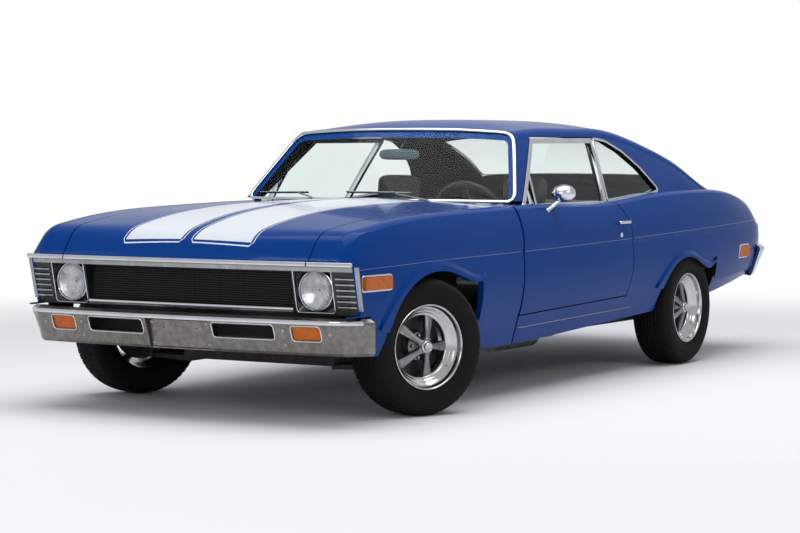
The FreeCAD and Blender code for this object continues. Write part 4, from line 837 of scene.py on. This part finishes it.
# Door mirror: rings (depth share, size share) of an egg that tapers forward, flat glass facing the rear,
# bent stem and round foot.
mirror = {"centre": (-1222, 905, 966), "wide": 62, "tall": 43, "deep": 62, "columns": 56,
          "rings": np.array([(-0.16, 0.02), (-0.15, 0.90), (-0.10, 0.985), (0.0, 1.0), (0.14, 0.985),
                             (0.30, 0.94), (0.48, 0.86), (0.66, 0.74), (0.82, 0.56), (0.94, 0.33),
                             (0.995, 0.10), (1.0, 0.02)]),
          "stem": [(-1146, 858, 886), (-1160, 872, 900), (-1185, 890, 925),
                   (-1205, 900, 945), (-1214, 903, 958)],
          "stemSection": (16, 12, 14), "stemSteps": 24, "stemUp": (1, 0, 0.3),
          "foot": [(-6, 0.4), (-6, 17), (0, 17), (5, 14), (9, 9), (11, 0.4)], "footColumns": 28,
          "footPlace": (-1144, 852, 882), "footAxis": (0.1, 0.8, 0.6),
          "glassRings": np.array([(0.2, 1), (1.4, 0.98), (1.6, 0.02)]),
          "glassDepth": -0.16, "glassSize": 0.86}
t = np.linspace(0, 2 * pi, mirror["columns"], endpoint=False)
middleX, middleY, middleZ = mirror["centre"]
depth, size = mirror["rings"].T[..., None]
head = at(middleX + mirror["deep"] * depth + 0 * t, middleY + mirror["wide"] * size * np.cos(t),
          middleZ + mirror["tall"] * size * np.sin(t))
stem = bentLine(mirror["stem"], mirror["stemSteps"])
parts = [closedGrid(head), closedGrid(sweep(stem, bead(*mirror["stemSection"]), mirror["stemUp"])),
         turned(mirror["foot"], at(*mirror["footPlace"]), mirror["footAxis"], (1, 0, 0),
                mirror["footColumns"])]
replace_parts(joined("door_mirror_shell", parts, looks["chrome"], "door_left"), "door_mirror")
behind, size = mirror["glassRings"].T[..., None]
pane = at(middleX + mirror["deep"] * mirror["glassDepth"] - behind + 0 * t,
          middleY + mirror["wide"] * mirror["glassSize"] * size * np.cos(t),
          middleZ + mirror["tall"] * mirror["glassSize"] * size * np.sin(t))
makePiece("door_mirror_glass", *closedGrid(pane), looks["mirror"], "door_left", "glass")

# Inside mirror: section shrinks towards both ends by (1 - y to the sixth) to the half, on a short stem. The
# shell's bluish grey is a painted reflection.
cabinMirror = {"x": -1164, "z": 1152, "half": 120, "deep": 20, "tall": 54, "steps": 40, "least": 0.0004,
               "stem": [(-1166, 0, 1160), (-1185, 0, 1190), (-1235, 0, 1232), (-1262, 0, 1252)],
               "stemSection": (12, 10, 12), "stemSteps": 20, "section": (1, 1, 24, 0.6), "power": 6}
ys = np.linspace(-1, 1, cabinMirror["steps"])[:, None]
grow = np.sqrt(np.clip(1 - abs(ys) ** cabinMirror["power"], cabinMirror["least"], 1))
ring = oval(*cabinMirror["section"])
head = at(cabinMirror["x"] + cabinMirror["deep"] * grow * ring[:, 0], cabinMirror["half"] * ys,
          cabinMirror["z"] + cabinMirror["tall"] * grow * ring[:, 1])
stem = bentLine(cabinMirror["stem"], cabinMirror["stemSteps"])
parts = [closedGrid(head), closedGrid(sweep(stem, bead(*cabinMirror["stemSection"]), (0, 1, 0)))]
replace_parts(joined("inside_mirror_shell", parts, looks["paintedReflectionShell"]), "inside_mirror")

# Round lock under each door handle.
lock = {"x": -1895, "z": 738, "start": 1100, "reach": 0.5, "columns": 32,
        "profile": [(-3, 0.4), (-3, 13), (1.5, 13), (3, 11.5), (3.2, 9),
                    (2, 8.5), (2.6, 5), (3.4, 2), (3.5, 0.4)]}
for tag, side in sides:
    spot = onSkin("door_%s_shell" % tag, at([lock["x"]], [side * lock["start"]], [lock["z"]]),
                  (0, -side, 0), 0, lock["reach"])[0]
    makePiece("door_lock_" + tag, *turned(lock["profile"], spot, (0, side, 0), (0, 0, 1), lock["columns"]),
              looks["chrome"], "door_" + tag, "chrome")

# Bright top of the front bumper: a rounded lip along its upper edge. The bumper's face below has a darker
# chrome of painted shade, so top and face are lit and shaded copies of one chrome.
bumperLip = {"half": 898, "z": 449, "start": 900, "lift": 0.0015, "reach": 0.4, "steps": 90,
             "section": (18, 6, 12, 0.7)}
ys = np.linspace(-bumperLip["half"], bumperLip["half"], bumperLip["steps"])
path = onSkin("front_bumper", at(bumperLip["start"], ys, bumperLip["z"]), (-1, 0, 0), bumperLip["lift"],
              bumperLip["reach"])
sweepPiece("bumper_lip", path, bead(*bumperLip["section"]), (1, 0, 0), looks["chrome"])
print("trim ready")

pad = {"rows": 49, "columns": 96, "power": 0.45, "puff": 0.10, "pleatDepth": 0.004, "pleatWidth": 0.10,
       "pleatField": (0.80, 0.82), "fieldEdge": 9, "front": 0.4, "seam": 0.62, "seamWidth": 0.035,
       "seamDepth": 0.002, "fill": 0.75, "sharp": 50}


# Cosine or sine with its size raised to the pad's power and its sign kept.
def squared(wave):
    return np.sign(wave) * abs(wave) ** pad["power"]


# Crowned closed cushion: superellipsoid that swells towards the middle of its front face, with pleats
# and a seam pressed in, leaned about the y axis.
def cushion(name, centre, size, lean, pleats, front=2):
    u = np.linspace(-pi / 2, pi / 2, pad["rows"])[:, None]
    v = np.linspace(0, 2 * pi, pad["columns"], endpoint=False)[None]
    p = np.stack([squared(np.cos(u)) * squared(np.cos(v)), squared(np.cos(u)) * squared(np.sin(v)),
                  squared(np.sin(u)) + 0 * v], -1)
    half = np.array(size) / 2
    p = p * half
    flat = 2 - front                      # the other axis of the front face
    across, crown, other = p[..., 1] / half[1], p[..., front] / half[front], p[..., flat] / half[flat]
    field = (np.clip((pad["pleatField"][0] - abs(across)) * pad["fieldEdge"], 0, 1)
             * np.clip((pad["pleatField"][1] - abs(other)) * pad["fieldEdge"], 0, 1) * (crown > pad["front"]))
    puff = (1 - across ** 2) * (1 - other ** 2) * pad["puff"] * half[front]
    pleat = np.exp(-((abs((across * pleats / 2) % 1 - 0.5) - 0.5) / pad["pleatWidth"]) ** 2)
    p[..., front] += np.sign(crown) * puff - field * pad["pleatDepth"] * pleat
    seam = np.exp(-((abs(crown) - pad["seam"]) / pad["seamWidth"]) ** 2) * pad["seamDepth"]
    p -= seam[..., None] * p / np.linalg.norm(p, axis=-1, keepdims=True)
    p = np.stack([p[..., 0] * cos(lean) + p[..., 2] * sin(lean), p[..., 1],
                  -p[..., 0] * sin(lean) + p[..., 2] * cos(lean)], -1)
    piece = makePiece(name, p + centre, gridFaces(pad["rows"], pad["columns"]), looks["vinyl"], "root",
                      "seat_vinyl", pad["sharp"])
    return piece


# Each cushion: place in millimetres, size in metres, lean in degrees, pleats and the axis it faces.
frontSeat = {"side": 385,
             "seat_cushion_": ((-1500, 440), (0.50, 0.47, 0.15), -5, 8, 2),
             "seat_back_": ((-1745, 690), (0.115, 0.47, 0.42), -15, 8, 0),
             "headrest_": ((-1795, 965), (0.085, 0.235, 0.145), -6, 0, 0),
             "base": {"x": -1500, "deep": 430, "wide": 410, "section": (1, 1, 24, 0.6),
                      "rings": ((1, 276), (1, 290), (0.92, 300), (0.92, 372))},
             "post": {"x": -1790, "half": 60, "low": 860, "high": 905, "section": (12, 12, 12)}}
rearSeat = {"rear_cushion": ((-2655, 545), (0.36, 1.17, 0.15), -6, 18, 2),
            "rear_back": ((-2880, 720), (0.12, 1.17, 0.33), -16, 18, 0)}
made = []
for tag, side in sides:
    y = side * frontSeat["side"]
    for name in ("seat_cushion_", "seat_back_", "headrest_"):
        (x, z), size, lean, pleats, front = frontSeat[name]
        made.append(cushion(name + tag, at(x, y, z), size, radians(lean), pleats, front))
    base, post = frontSeat["base"], frontSeat["post"]
    ring = oval(*base["section"])
    rings = np.stack([at(base["x"] + base["deep"] * share * ring[:, 0],
                         y + base["wide"] * ring[:, 1] * share, z) for share, z in base["rings"]])
    made.append(makePiece("seat_base_" + tag, *closedGrid(rings), looks["black"], "root", "trim_black"))
    posts = [closedGrid(sweep(at(post["x"], y + step, np.linspace(post["low"], post["high"], rodPoints)),
                              bead(*post["section"]), (1, 0, 0))) for step in (-post["half"], post["half"])]
    joined("headrest_posts_" + tag, posts, looks["chrome"])
for piece in made:
    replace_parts(piece, "front_seats")
for name, ((x, z), size, lean, pleats, front) in rearSeat.items():
    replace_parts(cushion(name, at(x, 0, z), size, radians(lean), pleats, front), "rear_seat")
print("seats ready")

# Camera's place in metres and angles in degrees, share of the white that is mirrored, light that
# reaches the car from all round, floor, and lamps as (place, target, size, power).
studio = {"place": (10.6491, 6.1153, 1.2211), "azimuth": 210.96, "elevation": -3.07,
          "lens": 105.32, "sensor": 36, "farEnd": 200, "mirrored": 0.4, "ambient": (0.30, 0.32, 0.35),
          "floorRings": (0.01, 4, 12, 40), "floorColumns": 64, "floorHeight": -0.001, "fade": (2.6, 7.5),
          "lights": {"topLight": ((0.5, 0.5, 6.0), (0, 0, 0), (7, 5), 360),
                     "sideLight": ((2.5, 7.5, 4.5), (0, 0, 0.8), (5, 2), 60),
                     "frontLight": ((8.5, 1.0, 3.0), (1, 0, 0.6), (4, 3), 90)}}


# New camera or lamp at a place, looking along a direction.
def placeInStudio(name, data, place, direction):
    made = bpy.data.objects.new(name, data)
    scene.collection.objects.link(made)
    made.location = place
    made.rotation_mode = "QUATERNION"
    made.rotation_quaternion = direction.to_track_quat("-Z", "Y")
    return made


azimuth, elevation = radians(studio["azimuth"]), radians(studio["elevation"])
view = Vector((cos(azimuth) * cos(elevation), sin(azimuth) * cos(elevation), sin(elevation)))
camera = placeInStudio("camera", bpy.data.cameras.new("camera"), studio["place"], view)
camera.data.lens = studio["lens"]
camera.data.sensor_width = studio["sensor"]
camera.data.clip_end = studio["farEnd"]
scene.camera = camera


# Mask of the rays that see the white surroundings: camera and glass fully, mirroring in part.
def seenRays(tree):
    rays = tree.nodes.new("ShaderNodeLightPath").outputs
    mirrored = maths(tree, "MULTIPLY", rays["Is Glossy Ray"], studio["mirrored"])
    return maths(tree, "MAXIMUM", maths(tree, "MAXIMUM", rays["Is Camera Ray"], mirrored),
                 rays["Is Transmission Ray"])


# Floor: flat rings, x = r cos t and y = r sin t.
columns = studio["floorColumns"]
t = np.linspace(0, 2 * pi, columns, endpoint=False)
rings = [np.stack([r * np.cos(t), r * np.sin(t), np.full(columns, studio["floorHeight"])], -1)
         for r in studio["floorRings"]]
floorMesh = bpy.data.meshes.new("floor")
floorMesh.from_pydata(np.concatenate(rings).tolist(), [],
                      gridFaces(len(rings), columns) + [list(range(columns))])
floor = bpy.data.objects.new("floor", floorMesh)
scene.collection.objects.link(floor)
floorLook = material("paleFloor", (0.93, 0.93, 0.93), (0.90, 0.90, 0.90), (0.55, 0.65), scale=0.6,
                     Specular_IOR_Level=0.2)
floorMesh.materials.append(floorLook)
# far from the car the camera sees the floor as white as the background
tree = floorLook.node_tree
where = tree.nodes.new("ShaderNodeTexCoord").outputs["Object"]
away = addNode(tree, "VectorMath", {0: where}, operation="LENGTH").outputs["Value"]
fade = addNode(tree, "MapRange",
               {"Value": away, "From Min": studio["fade"][0], "From Max": studio["fade"][1]},
               interpolation_type="SMOOTHSTEP").outputs["Result"]
white = addNode(tree, "MixShader", {0: maths(tree, "MULTIPLY", fade, seenRays(tree)),
                                    1: tree.nodes["Principled BSDF"].outputs[0],
                                    2: tree.nodes.new("ShaderNodeEmission").outputs[0]})
put(tree, tree.nodes["Material Output"].inputs["Surface"], white.outputs[0])

scene.world = bpy.data.worlds.new("studio")
scene.world.use_nodes = True
tree = scene.world.node_tree
background = tree.nodes["Background"].inputs
put(tree, background["Color"], mixColors(tree, seenRays(tree), (*studio["ambient"], 1), (1, 1, 1, 1)))
background["Strength"].default_value = 1.0
for name, (place, target, size, power) in studio["lights"].items():
    light = bpy.data.lights.new(name, "AREA")
    light.shape = "RECTANGLE"
    light.size, light.size_y = size
    light.energy = power
    placeInStudio(name, light, place, Vector(target) - Vector(place))
print("studio ready")
